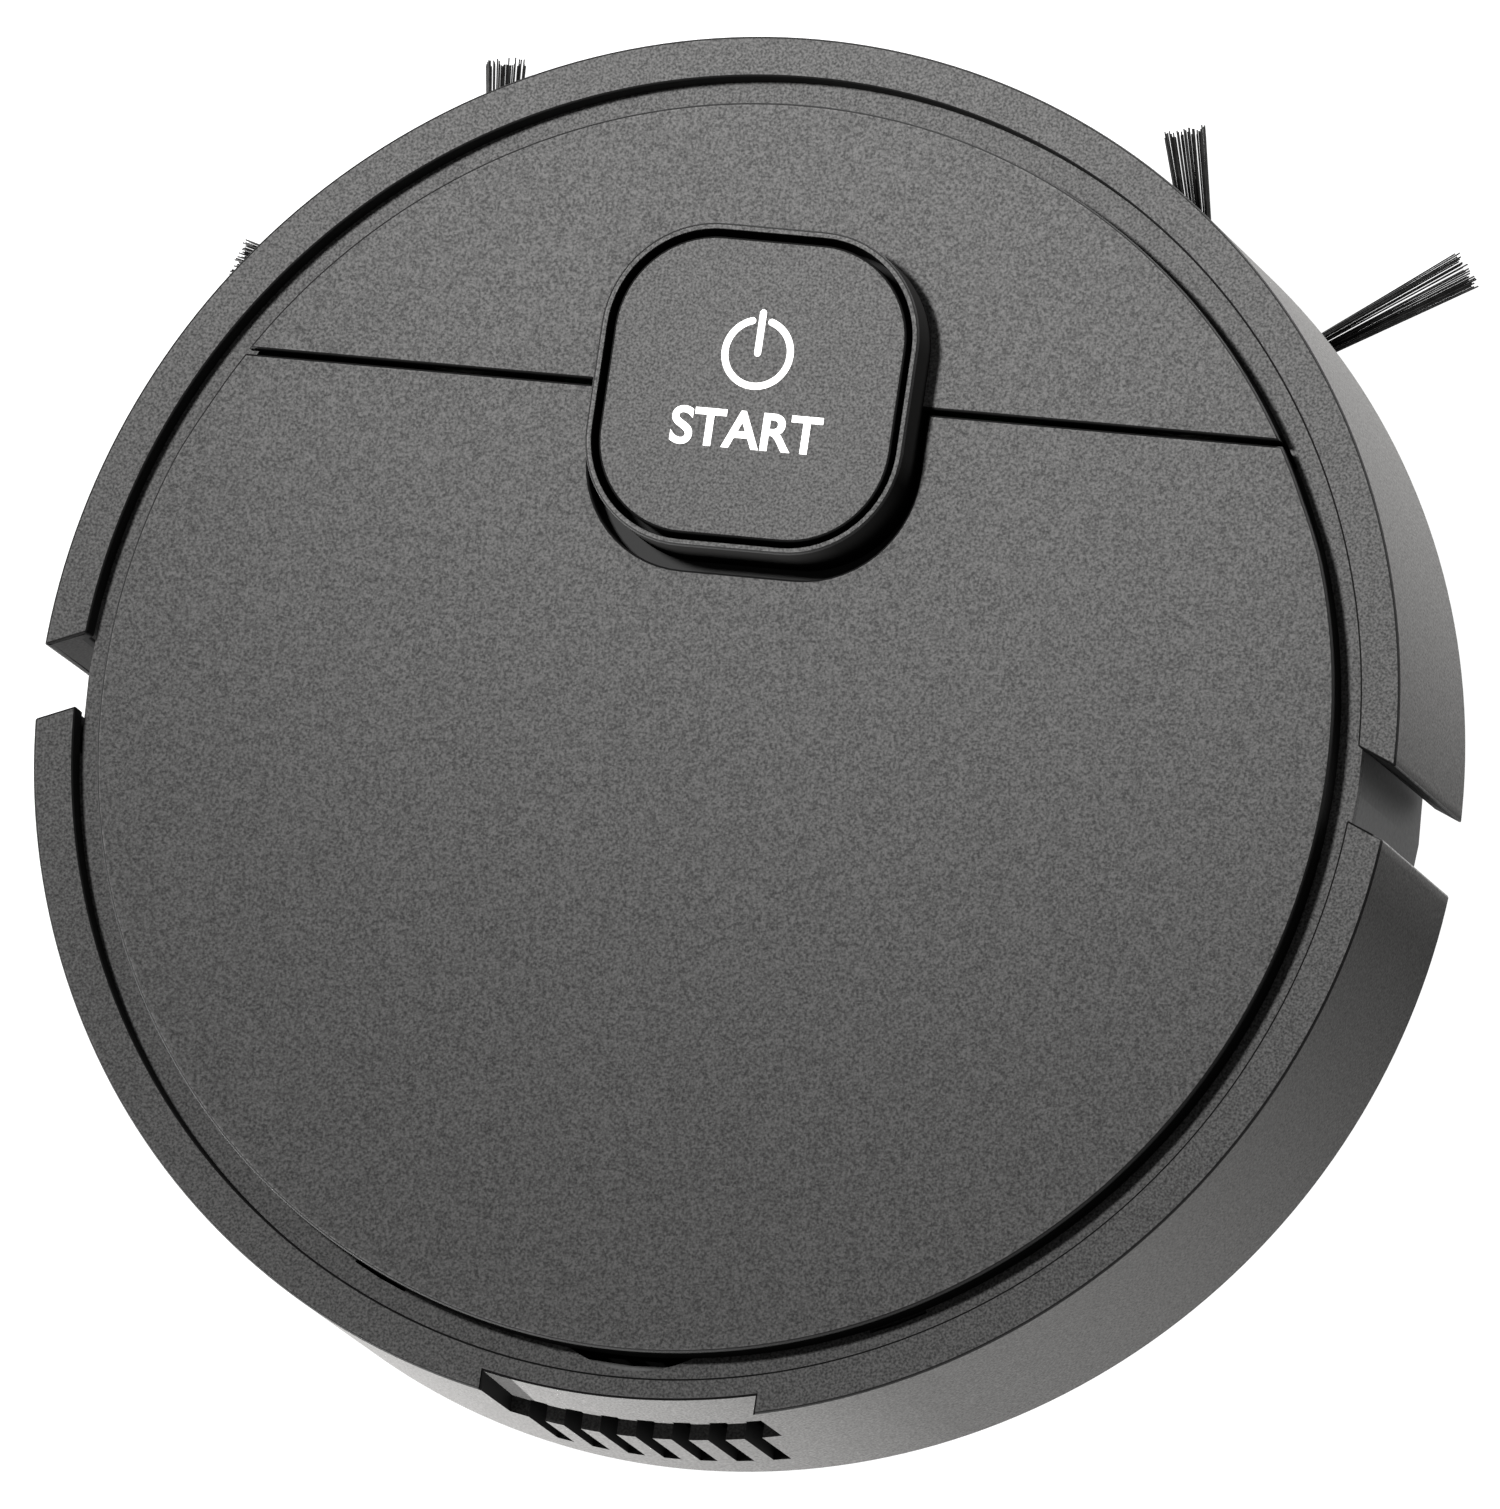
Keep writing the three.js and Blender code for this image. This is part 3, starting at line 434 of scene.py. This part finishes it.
def ring_half(sign, end_y, name):
    """Half of the ring and its wall: hollow, with a closing wall at both ends."""

    def inner(z):
        return wall_r(z) - WALL

    under_rim = RIM_Z - RIM_T
    end_r = RIM_INNER_R + END_WALL
    lip_z = DECK_Z + GAP
    lip_r = RIM_INNER_R + LIP_T
    outside = [(FOOT_R, UNDER_Z, EDGE), (BODY_R, RIM_Z, EDGE)]
    outside += [(RIM_INNER_R, RIM_Z, EDGE), (RIM_INNER_R, lip_z, 0)]
    closing = [(end_r, lip_z, 0), (end_r, UNDER_Z, 0), (inner(UNDER_Z), UNDER_Z, 0)]
    hollow = [
        (end_r, lip_z, 0), (lip_r, lip_z, 0), (lip_r, under_rim, 0),
        (inner(under_rim), under_rim, 0), (inner(UNDER_Z), UNDER_Z, 0),
    ]
    full, full_arcs = rounded(outside + closing, border=EDGE / 2)
    open_, open_arcs = rounded(outside + hollow, border=EDGE / 2)

    def loop(outline, depth, along):
        places = []
        for p in outline:
            a = end_angle(p.x, end_y + sign * depth)
            a += along * (sign * math.pi - 2 * a)
            places.append((p.x * math.cos(a), p.x * math.sin(a), p.y))
        return places

    def paints_of(outline, arcs):
        """Painted shade lines on the rounded edges, and the walls in their own materials; the wall that faces
        the lid is painted shade.
        """
        paints = dict.fromkeys(arcs, ON_SHADE_LINE)
        for k, p in enumerate(outline):
            ahead = outline[(k + 1) % len(outline)]
            if on_wall(p, ahead):
                paints[k] = ON_SIDE
            elif on_lip(p, ahead):
                paints[k] = ON_INNER_SHADE
        return paints

    surface = Surface()
    band = paints_of(full, full_arcs)
    # The end faces are painted shade, with a painted shade border along their edges and painted shade lines on
    # their rounded edges, except along the outer wall.
    outline_paints = {k: ON_TOP if band.get(k) == ON_SIDE else ON_SHADE_LINE for k in range(len(full))}
    border_paints = {k: ON_END_SHADE if band.get(k) == ON_SIDE else ON_SHADE_LINE for k in range(len(full))}
    for along in (0, 1):
        border = loop(inset(full, EDGE + END_SHADE_BORDER), 0, along)
        levels = [(EDGE * (1 - math.sin(t)), EDGE * (1 - math.cos(t))) for t in FILLET]
        loops = [loop(inset(full, distance), depth, along) for distance, depth in levels]
        rows = [surface.points(places) for places in (border, *loops)]
        surface.strip(rows[0], rows[1], border_paints)
        for one, other in zip(rows[1:], rows[2:]):
            surface.strip(one, other, outline_paints)
        surface.face(rows[0], ON_END_SHADE)
        surface.strip(rows[-1], surface.points(loop(full, WALL, along)), band)
        cap = [Vector(p[:2]) for p in closing[:2]] + [Vector(p[:2]) for p in hollow[:0:-1]]
        surface.face(surface.points(loop(cap, WALL, along)))
    steps = SMOOTH // 2
    rows = [surface.points(loop(open_, WALL, k / steps)) for k in range(steps + 1)]
    for one, other in zip(rows, rows[1:]):
        surface.strip(one, other, paints_of(open_, open_arcs))
    return surface.make(name, *RING_SET)


def on_wall(one, other):
    """True where a profile segment lies in the tall outer wall."""
    steep = abs(one.x - other.x) < abs(one.y - other.y) / 10
    return steep and min(one.x, other.x) > FOOT_R - WALL / 4


def on_lip(one, other):
    """True where a profile segment is the short wall that faces the lid."""
    return max(one.x, other.x) < RIM_INNER_R + EDGE / 4 and min(one.y, other.y) > DECK_Z


bumper = ring_half(1, BUMPER_END_Y, "bumper_shell")
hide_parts("bumper")
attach(bumper, "bumper")

# ---- Exhaust recess and slots in the rear shell ----
VENT_HALF = 25.15
VENT_TOP = 35.6
VENT_BOTTOM = 16.6
VENT_DEPTH = 3.4
VENT_COUNT = 7
VENT_SLOT = 3.2
VENT_PITCH = 6.67
SLOT_CUT = (-135, -117)  # from outside the wall to inside it, along Y
PAD_HALF = 27  # the wall is thicker behind the recess: half its width, its lower edge and its inner radius
PAD_LOW = 14
PAD_R = 120.2
PAD_SUNK = 0.05  # how far the pad stays under the wall's outer face
REBATE = 0.4  # a step round the recess's upper edge, painted black as a shade line
JACK_TURN = 205  # the charging socket, in degrees from +X
JACK_Z = 25
JACK_R = 5.4
JACK_CUT = (118, 130)  # radii between which the socket's hole runs
AXIS_GAP = 0.01  # keeps a turned outline off its axis
BEYOND = 5  # how far cutting shapes reach past the body
SLICES = 24  # of half a sector


def sector(inner, outer, x_half, bottom, top, name, wall=ON_TOP, ends=ON_TOP, flats=ON_TOP):
    """A piece of ring at the back, inside two planes at x = -x_half and x = x_half, with its faces' paints.

    The outer radius is given at the bottom and at the top.
    """
    across = [x_half * k / SLICES for k in range(-SLICES, SLICES + 1)]
    inside = [Vector((x, -math.sqrt(inner**2 - x**2))) for x in across]
    loops = []
    for radius, z in zip(outer, (bottom, top)):
        outside = [Vector((x, -math.sqrt(radius**2 - x**2))) for x in across]
        loops.append(at_height(outside + inside[::-1], z))
    last = len(across) - 1
    paints = dict.fromkeys(range(last + 1, 2 * last + 1), wall)
    paints.update({last: ends, 2 * last + 1: ends})
    surface = Surface()
    surface.tube(loops, paints, end_paint=flats)
    return surface.make(name, *RING_SET)


def rear_housing():
    shell = ring_half(-1, REAR_END_Y, "rear_housing")
    pad_top = RIM_Z - 1
    pad_r = [wall_r(z) - PAD_SUNK for z in (PAD_LOW, pad_top)]
    combine("UNION", shell, sector(PAD_R, pad_r, PAD_HALF, PAD_LOW, pad_top, "pad"))
    beyond = (BODY_R + BEYOND,) * 2
    above = RIM_Z + 1
    back = BODY_R - VENT_DEPTH
    # The recess's end faces, its ledge and the slots' walls are painted shade, and the rebate is a painted
    # shade line.
    recess = sector(back, beyond, VENT_HALF, VENT_TOP, above, "recess", ON_SIDE, ON_INNER_SHADE, ON_LEDGE_SHADE)
    step = (back - REBATE, beyond, VENT_HALF + REBATE, RIM_Z - REBATE, above)
    tools = [recess, sector(*step, "rebate", ON_SHADE_LINE, ON_SHADE_LINE, ON_SHADE_LINE)]
    for i in range(VENT_COUNT):
        x = (i - (VENT_COUNT - 1) / 2) * VENT_PITCH
        box = (x - VENT_SLOT / 2, x + VENT_SLOT / 2, *SLOT_CUT, VENT_BOTTOM, VENT_TOP + 1)
        tools.append(block(*box, "slot", RING_SET, ON_INNER_SHADE))
    start, end = JACK_CUT
    outline = [(AXIS_GAP, start, 0), (JACK_R, start, 0), (JACK_R, end, 0), (AXIS_GAP, end, 0)]
    hole = turned(outline, "hole", [], 48, axis="X")
    turn = Matrix.Rotation(math.radians(JACK_TURN), 4, "Z")
    hole.data.transform(turn @ Matrix.Translation((0, 0, JACK_Z * MM)))
    tools.append(hole)
    return combine("DIFFERENCE", shell, *tools)


rear = rear_housing()
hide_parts("rear_shell")
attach(rear, "root")


# ---- Lid ----
SKIRT_T = 1.8
SKIRT_FROM = {"lid": 46, "panel": 62}  # the skirts stop at this place along Y
SKIRT_GAP = 0.5  # above the deck, under the lid
EAR_INNER = 2.4  # the hinge's ears stand this far from its middle,
EAR_OUTER = 6  # to this far
LATCH = (-6, 6, -110.5, -108.5)  # its sides along X and Y
CORNER_STEPS = 14
LID_STEPS = 208


def squircle(half, corner):
    """A square with rounded corners round the button's middle."""
    back = BOSS_Y - half
    front = BOSS_Y + half
    corners = [(half, back, corner), (half, front, corner), (-half, front, corner), (-half, back, corner)]
    return anticlockwise(rounded(corners, 16)[0])


def chord(radius, y):
    """The angle, in degrees, of the point of a circle at that y on the right side."""
    return math.degrees(math.asin(y / radius))


NARROW_FROM = 40
NARROW_TO = 50  # between these two places along Y the lid's edge moves in to CORNER_R


def lid_outline():
    """The rear part of a disc, narrower near its front corners, with room for the button boss."""
    start = chord(CORNER_R, LID_FRONT)
    points = []
    for p in arc(1, start, -180 - start, LID_STEPS):
        narrowing = min(max((p.y * LID_R - NARROW_FROM) / (NARROW_TO - NARROW_FROM), 0), 1)
        points.append(p * (LID_R + (CORNER_R - LID_R) * narrowing))
    points.append(Vector((-CUTOUT_HALF, LID_FRONT)))
    level = CUTOUT_BACK + BOSS_CORNER
    points += arc(BOSS_CORNER, 180, 270, CORNER_STEPS, (BOSS_CORNER - CUTOUT_HALF, level))
    points += arc(BOSS_CORNER, 270, 360, CORNER_STEPS, (CUTOUT_HALF - BOSS_CORNER, level))
    points.append(Vector((CUTOUT_HALF, LID_FRONT)))
    return points


def skirt(radius, start, end, bottom, steps):
    """The short wall that hangs from a cover's rim."""
    surface = Surface()
    loops = []
    top = TOP_Z - PLATE_T
    profile = [(radius - SKIRT_T, bottom), (radius, bottom), (radius, top), (radius - SKIRT_T, top)]
    for k in range(steps + 1):
        a = math.radians(start + (end - start) * k / steps)
        loops.append([(r * math.cos(a), r * math.sin(a), z) for r, z in profile])
    # The skirt's faces are painted shade.
    surface.tube(loops, dict.fromkeys(range(4), ON_WALL_SHADE), end_paint=ON_WALL_SHADE)
    return surface.make("skirt", *SHELL_SET)


def lug(x0, x1):
    """One ear of the lid's hinge, with its rounded end round the pin."""
    y, _ = HINGE
    outline = arc(EAR_R, 180, 360, 12, HINGE)
    outline += [Vector((y + EAR_R, TOP_Z - PLATE_T)), Vector((y - EAR_R, TOP_Z - PLATE_T))]
    surface = Surface()
    surface.tube([[(x, p.x, p.y) for p in outline] for x in (x0, x1)])
    return surface.make("lug", *SHELL_SET)


def merged(name, materials, *pieces):
    """One object from several that touch."""
    mesh = bmesh.new()
    for piece in pieces:
        mesh.from_mesh(piece.data)
        bpy.data.objects.remove(piece)
    data = bpy.data.meshes.new(name)
    mesh.to_mesh(data)
    mesh.free()
    for made in materials:
        data.materials.append(made)
    whole = bpy.data.objects.new(name, data)
    bpy.context.scene.collection.objects.link(whole)
    smooth(whole)
    return whole


def lid_cover():
    plate = slab(lid_outline(), TOP_Z - PLATE_T, TOP_Z, "plate", SHELL_SET)
    start = chord(LID_R, SKIRT_FROM["lid"])
    bottom = DECK_Z + SKIRT_GAP
    parts = [plate, skirt(LID_R, start, -180 - start, bottom, 180)]
    ears = ((HINGE_X - EAR_OUTER, HINGE_X - EAR_INNER), (HINGE_X + EAR_INNER, HINGE_X + EAR_OUTER))
    for side in (-1, 1):
        for x0, x1 in ears:
            parts.append(lug(side * x0, side * x1))
    parts.append(block(*LATCH, bottom, TOP_Z - PLATE_T, "latch", SHELL_SET))
    return merged("lid_cover", SHELL_SET, *parts)


lid = lid_cover()
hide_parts("lid")
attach(lid, "lid")


# ---- Front panel with the button's boss ----
BOSS_OVERLAP = 0.6  # the panel's plate ends inside the boss's wall
RIM_EDGE = 0.1  # inner edge of the boss's rim
CUP_T = 1.6  # bottom of the boss
PANEL_STEPS = 140
RIM_TURNS = (0.5, 1.05, TURN / 4)  # angles on the rim's rounded outer edge


def panel_outline():
    """The front part of a disc, up to the seam, with a bay that fits round the boss."""
    seam = LID_FRONT + SEAM_W
    points = arc(PANEL_R, chord(PANEL_R, seam), 180 - chord(PANEL_R, seam), PANEL_STEPS)
    half = BOSS_HALF - BOSS_OVERLAP
    boss = [p for p in squircle(half, BOSS_CORNER - BOSS_OVERLAP) if p.y > seam]
    left = [p for p in boss if p.x < 0]
    right = [p for p in boss if p.x >= 0]
    points.append(Vector((-half, seam)))
    points += sorted(left, key=lambda p: p.x) + sorted(right, key=lambda p: p.x)
    points.append(Vector((half, seam)))
    return points


def boss():
    """The raised square wall, with a bottom, as a cup. Its walls and bottom are painted shade, with painted
    shade lines on its rim's edges.
    """
    bottom = DECK_Z + GAP
    levels = [(0, bottom, ON_BOSS_SHADE), (0, BOSS_TOP - EDGE, ON_BOSS_SHADE)]
    for t in RIM_TURNS:
        levels.append((-EDGE * (1 - math.cos(t)), BOSS_TOP - EDGE * (1 - math.sin(t)), ON_SHADE_LINE))
    levels.append((-BOSS_WALL + RIM_EDGE, BOSS_TOP, ON_TOP))
    levels.append((-BOSS_WALL, BOSS_TOP - RIM_EDGE, ON_SHADE_LINE))
    levels.append((-BOSS_WALL, bottom + CUP_T, ON_WALL_SHADE))
    surface = Surface()
    rows = [surface.points(at_height(squircle(BOSS_HALF + d, BOSS_CORNER + d), z)) for d, z, _ in levels]
    for (_, _, paint), one, other in zip(levels[1:], rows, rows[1:]):
        surface.strip(one, other, dict.fromkeys(range(len(one)), paint))
    surface.face(rows[0], ON_WALL_SHADE)
    surface.face(rows[-1], ON_WALL_SHADE)
    return surface.make("boss", *PANEL_SET)


def front_cover():
    plate = slab(panel_outline(), TOP_Z - PLATE_T, TOP_Z, "plate", SHELL_SET)
    start = chord(PANEL_R, SKIRT_FROM["panel"])
    hanging = skirt(PANEL_R, start, 180 - start, DECK_Z + GAP, PANEL_STEPS)
    return merged("front_cover", PANEL_SET, plate, hanging, boss())


front = front_cover()
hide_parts("front_panel")
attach(front, "root")


# ---- Power button ----
CAP_BOTTOM = 58.4
SIGN_R = 6
SIGN_Y = 6.5  # from the button's middle
SIGN_GAP = 17  # half of the ring's opening, in degrees
SIGN_BAR = 7.3
STROKE = 1.25
WORD = "START"
WORD_SIZE = (27.8, 7)
WORD_Y = -7.5  # from the button's middle
PRINT_T = 0.06


def ribbon(surface, path, width, z0, z1):
    """A flat stroke with round ends along a path."""
    half = width / 2
    left, right = [], []
    for i, p in enumerate(path):
        ahead = (path[min(i + 1, len(path) - 1)] - path[max(i - 1, 0)]).normalized()
        normal = Vector((-ahead.y, ahead.x)) * half
        left.append(p + normal)
        right.append(p - normal)
    ahead = math.degrees(math.atan2(*(path[-1] - path[-2]).yx))
    back = math.degrees(math.atan2(*(path[0] - path[1]).yx))
    outline = right + arc(half, ahead - 90, ahead + 90, 8, path[-1])[1:-1]
    outline += left[::-1] + arc(half, back - 90, back + 90, 8, path[0])[1:-1]
    surface.tube([at_height(outline, z) for z in (z0, z1)])


def power_sign(z):
    surface = Surface()
    centre = Vector((0, BOSS_Y + SIGN_Y))
    ribbon(surface, arc(SIGN_R, 90 + SIGN_GAP, 450 - SIGN_GAP, 48, centre), STROKE, z - PRINT_T, z)
    ribbon(surface, [centre, centre + Vector((0, SIGN_BAR))], STROKE, z - PRINT_T, z)
    return surface.make("power_sign", PRINT)


def word(z):
    """Bold letters from Blender's own font, scaled to their width and height, as a thin raised print."""
    curve = bpy.data.curves.new("word", "FONT")
    curve.body = WORD
    curve.offset = 0.022  # makes the strokes bolder
    curve.align_x = "CENTER"
    curve.extrude = 0.01
    letters = bpy.data.objects.new("letters", curve)
    bpy.context.scene.collection.objects.link(letters)
    bpy.context.view_layer.update()
    evaluated = letters.evaluated_get(bpy.context.evaluated_depsgraph_get())
    data = bpy.data.meshes.new_from_object(evaluated)
    bpy.data.objects.remove(letters)
    spread = [[v.co[i] for v in data.vertices] for i in range(3)]
    size = [max(values) - min(values) for values in spread]
    middle = [(max(values) + min(values)) / 2 for values in spread]
    scale = [wanted / had for wanted, had in zip((*WORD_SIZE, PRINT_T), size)]
    place = (0, BOSS_Y + WORD_Y, z - PRINT_T / 2)
    for v in data.vertices:
        v.co = Vector([(v.co[i] - middle[i]) * scale[i] + place[i] for i in range(3)]) * MM
    data.materials.clear()
    data.materials.append(PRINT)
    piece = bpy.data.objects.new("button_word", data)
    bpy.context.scene.collection.objects.link(piece)
    return piece


def power_button():
    outline = squircle(CAP_HALF, BOSS_CORNER - (BOSS_HALF - CAP_HALF))
    return slab(outline, CAP_BOTTOM, CAP_TOP - PRINT_T, "power_button", SHELL_SET)


button = power_button()
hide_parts("button_cap")
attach(button, "button")
for printed in (power_sign(CAP_TOP), word(CAP_TOP)):
    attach(printed, "button")


# ---- Side brushes: tufts of separate filaments on a ring ----
TUFT_COUNT = 34  # filaments in each tuft
TUFT_ROOT = 9.9  # radius where they start
TUFT_SHORT = 0.2  # the tips end this much inside the brush's reach, or up to TUFT_UNEVEN more
TUFT_UNEVEN = 1.6
ROOT_HALF = 1.4  # half of a tuft's width and the height of its middle, at the root and at the tip
ROOT_Z = 4.4
TIP_HALF = 3.8
TIP_Z = 2.9
TUFT_THICK = 0.55  # half of its thickness at the root, and the share of it that is left at the tip
TIP_SHARE = 0.9
JITTER = (0.2, 0.8)  # place of a filament in its share of the tuft's width
SAG = 0.12
FILAMENT_R = 0.14
BRUSH_RING = [(9.1, 2.9, 0.3), (11, 2.9, 0.5), (11, 6, 0.5), (9.1, 6, 0.3)]  # radius, height, rounding


def filament(surface, start, end, sag, radius):
    """A thin bent rod with four sides."""
    steps = 4
    corners = [TURN / 4 * k for k in range(4)]
    along = (end - start).normalized()
    side = along.cross(Vector((0, 0, 1))).normalized()
    up = side.cross(along)
    loops = []
    for k in range(steps + 1):
        t = k / steps
        centre = start.lerp(end, t) + Vector((0, 0, sag * math.sin(math.pi * t)))
        loops.append([centre + (side * math.cos(a) + up * math.sin(a)) * radius for a in corners])
    surface.tube(loops)


def brush(name, side):
    surface = Surface()
    reach = BRUSH_REACH - TUFT_SHORT
    for i in range(BRUSH_ARMS):
        heading = math.radians(BRUSH_TURN[name]) - TURN * i / BRUSH_ARMS
        turn = Matrix.Rotation(heading, 3, "Z")
        for k in range(TUFT_COUNT):
            spread = (k + random.uniform(*JITTER)) / TUFT_COUNT * 2 - 1
            layer = random.uniform(-TUFT_THICK, TUFT_THICK)
            tip = reach - random.uniform(0, TUFT_UNEVEN)
            sag = random.uniform(-SAG, SAG)
            start = turn @ Vector((TUFT_ROOT, spread * ROOT_HALF, ROOT_Z + layer))
            end = turn @ Vector((tip, spread * TIP_HALF, TIP_Z + layer * TIP_SHARE))
            filament(surface, start, end, sag, FILAMENT_R)
    tufts = surface.make("tufts", BRISTLE)
    ring = turned(BRUSH_RING, "ring", (BRISTLE,), 64)
    whole = merged(f"{name}_bristle_tufts", (BRISTLE,), tufts, ring)
    whole.data.transform(Matrix.Translation(Vector((side * BRUSH[0], BRUSH[1], 0)) * MM))
    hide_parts(f"{name}_brush_bristles")
    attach(whole, f"{name}_brush")


for name, side in (("left", -1), ("right", 1)):
    brush(name, side)


# ---- Tyres ----
TYRE_INNER_R = 17.55
TYRE_SIDES = 192
GROOVES = 32
GROOVE_DEPTH = 0.9
GROOVE_SHARE = 0.2  # of the way from one groove to the next
SHOULDER = 0.8


def tyre(name):
    x0, x1 = low(f"{name}_tyre").x, high(f"{name}_tyre").x
    surface = Surface()
    rows = []
    for k in range(TYRE_SIDES):
        a = TURN * k / TYRE_SIDES - TURN / 4
        groove = (k / TYRE_SIDES * GROOVES + 0.5) % 1 < GROOVE_SHARE
        r = WHEEL_R - (GROOVE_DEPTH if groove else 0)
        profile = [(x0 + SHOULDER, r), (x0, r - SHOULDER), (x0, TYRE_INNER_R)]
        profile += [(x1, TYRE_INNER_R), (x1, r - SHOULDER), (x1 - SHOULDER, r)]
        rows.append(surface.points([(x, q * math.cos(a), WHEEL_Z + q * math.sin(a)) for x, q in profile]))
    for one, other in zip(rows, rows[1:] + rows[:1]):
        surface.strip(one, other)
    piece = surface.make(f"{name}_tread", TYRE)
    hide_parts(f"{name}_tyre")
    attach(piece, f"{name}_wheel")


for name in ("left", "right"):
    tyre(name)


# ---- Finishes of the CAD pieces that stay ----
def finish_of(node):
    """The material of a CAD node, by what it is. The deck is painted black as shade under the covers, and the
    fan housing is painted almost black as shade.
    """
    kinds = (
        (("top_deck",), DECK_WITH_SHADE),
        (("fan_housing",), DEEP_SHADE),
        (("dust_bin", "cliff_sensor"), SMOKED),
        (("hepa_filter",), PAPER),
        (("board",), BOARD),
        (("motor",), MOTOR_CAN),
        (("spring", "pin", "axle", "screw"), STEEL),
        (("caster_wheel",), NYLON),
        (("impeller",), FAN),
        (("battery_pack",), SLEEVE),
        (("lip",), RUBBER),
        (("chassis",), CHASSIS),
    )
    for words, made in kinds:
        if any(text in node for text in words):
            return made
    return BLACK


for node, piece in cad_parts.items():
    piece.data.materials.clear()
    piece.data.materials.append(finish_of(node))


# ---- Stage: floor, lights and camera ----
VIEW_AZIMUTH = math.radians(57.1251)
VIEW_ELEVATION = math.radians(69.8294)
VIEW_ROLL = math.radians(-50.3107)
VIEW_HEIGHT = 0.2661  # what the picture shows from top to bottom
VIEW_SHIFT = (-8.694, 7.351)  # of the picture's middle from the origin, in the picture's directions

FLOOR_HALF = 4000
FLOOR_GLOW = 0.98  # keeps the background white
WORLD_LIGHT = 0.25

floor_surface = Surface()
floor_corners = [(x * FLOOR_HALF, y * FLOOR_HALF, 0) for x, y in ((-1, -1), (1, -1), (1, 1), (-1, 1))]
floor_surface.face(floor_surface.points(floor_corners))
WHITE_FLOOR = material("floor_white", (0.2, 0.2, 0.2), 0.9, specular=0.0)
glow = WHITE_FLOOR.node_tree.nodes["Principled BSDF"].inputs
glow["Emission Color"].default_value = (1, 1, 1, 1)
glow["Emission Strength"].default_value = FLOOR_GLOW
floor = floor_surface.make("floor", WHITE_FLOOR)


def direction(azimuth, elevation):
    """Towards a place at these angles, in radians; azimuth runs anticlockwise from -Y."""
    level = math.cos(elevation)
    return Vector((math.sin(azimuth) * level, -math.cos(azimuth) * level, math.sin(elevation)))


def area_light(name, azimuth, elevation, distance, size, power):
    """A round lamp that faces the origin: angles in degrees, distance and size in metres."""
    data = bpy.data.lights.new(name, "AREA")
    data.shape = "DISK"
    data.size = size
    data.energy = power
    lamp = bpy.data.objects.new(name, data)
    lamp.visible_camera = False
    place = direction(math.radians(azimuth), math.radians(elevation)) * distance
    lamp.matrix_world = Matrix.Translation(place) @ place.to_track_quat("Z", "Y").to_matrix().to_4x4()
    bpy.context.scene.collection.objects.link(lamp)


def spot_light(name, azimuth, elevation, distance, size, power, cone, aim):
    """A lamp with a soft-edged cone, in degrees, that is brightest along the line to the point it aims at."""
    data = bpy.data.lights.new(name, "SPOT")
    data.shadow_soft_size = size
    data.energy = power
    data.spot_size = math.radians(cone)
    data.spot_blend = 1
    lamp = bpy.data.objects.new(name, data)
    place = direction(math.radians(azimuth), math.radians(elevation)) * distance
    turn = (place - Vector(aim)).to_track_quat("Z", "Y").to_matrix().to_4x4()
    lamp.matrix_world = Matrix.Translation(place) @ turn
    bpy.context.scene.collection.objects.link(lamp)


def camera():
    towards = direction(VIEW_AZIMUTH, VIEW_ELEVATION)
    level = (-towards).cross(Vector((0, 0, 1))).normalized()
    upright = level.cross(-towards)
    right = math.cos(VIEW_ROLL) * level + math.sin(VIEW_ROLL) * upright
    up = math.cos(VIEW_ROLL) * upright - math.sin(VIEW_ROLL) * level
    data = bpy.data.cameras.new("camera")
    data.type = "ORTHO"
    data.ortho_scale = VIEW_HEIGHT
    data.clip_end = 20
    eye = bpy.data.objects.new("camera", data)
    aim = (right * VIEW_SHIFT[0] + up * VIEW_SHIFT[1]) * MM
    axes = Matrix((right, up, towards)).transposed().to_4x4()
    eye.matrix_world = Matrix.Translation(aim + towards) @ axes
    bpy.context.scene.collection.objects.link(eye)
    bpy.context.scene.camera = eye


world = bpy.data.worlds.new("studio")
world.use_nodes = True
background = world.node_tree.nodes["Background"].inputs
background["Color"].default_value = (1, 1, 1, 1)
background["Strength"].default_value = WORLD_LIGHT
bpy.context.scene.world = world
bpy.context.scene.view_settings.view_transform = "Standard"
spot_light("key", 240, 75, 1.2, 0.06, 93, 35, (0.03, 0.25, 0.05))
area_light("top", 240, 75, 2.5, 0.25, 56)
# These three stand almost level with the floor, for the side walls. They also light an opened lid.
area_light("side", 165, 1.5, 1.2, 0.056, 95)
area_light("rear", 0, 1.5, 1.2, 0.056, 39)
area_light("left", -60, 1.5, 1.2, 0.056, 125)
camera()
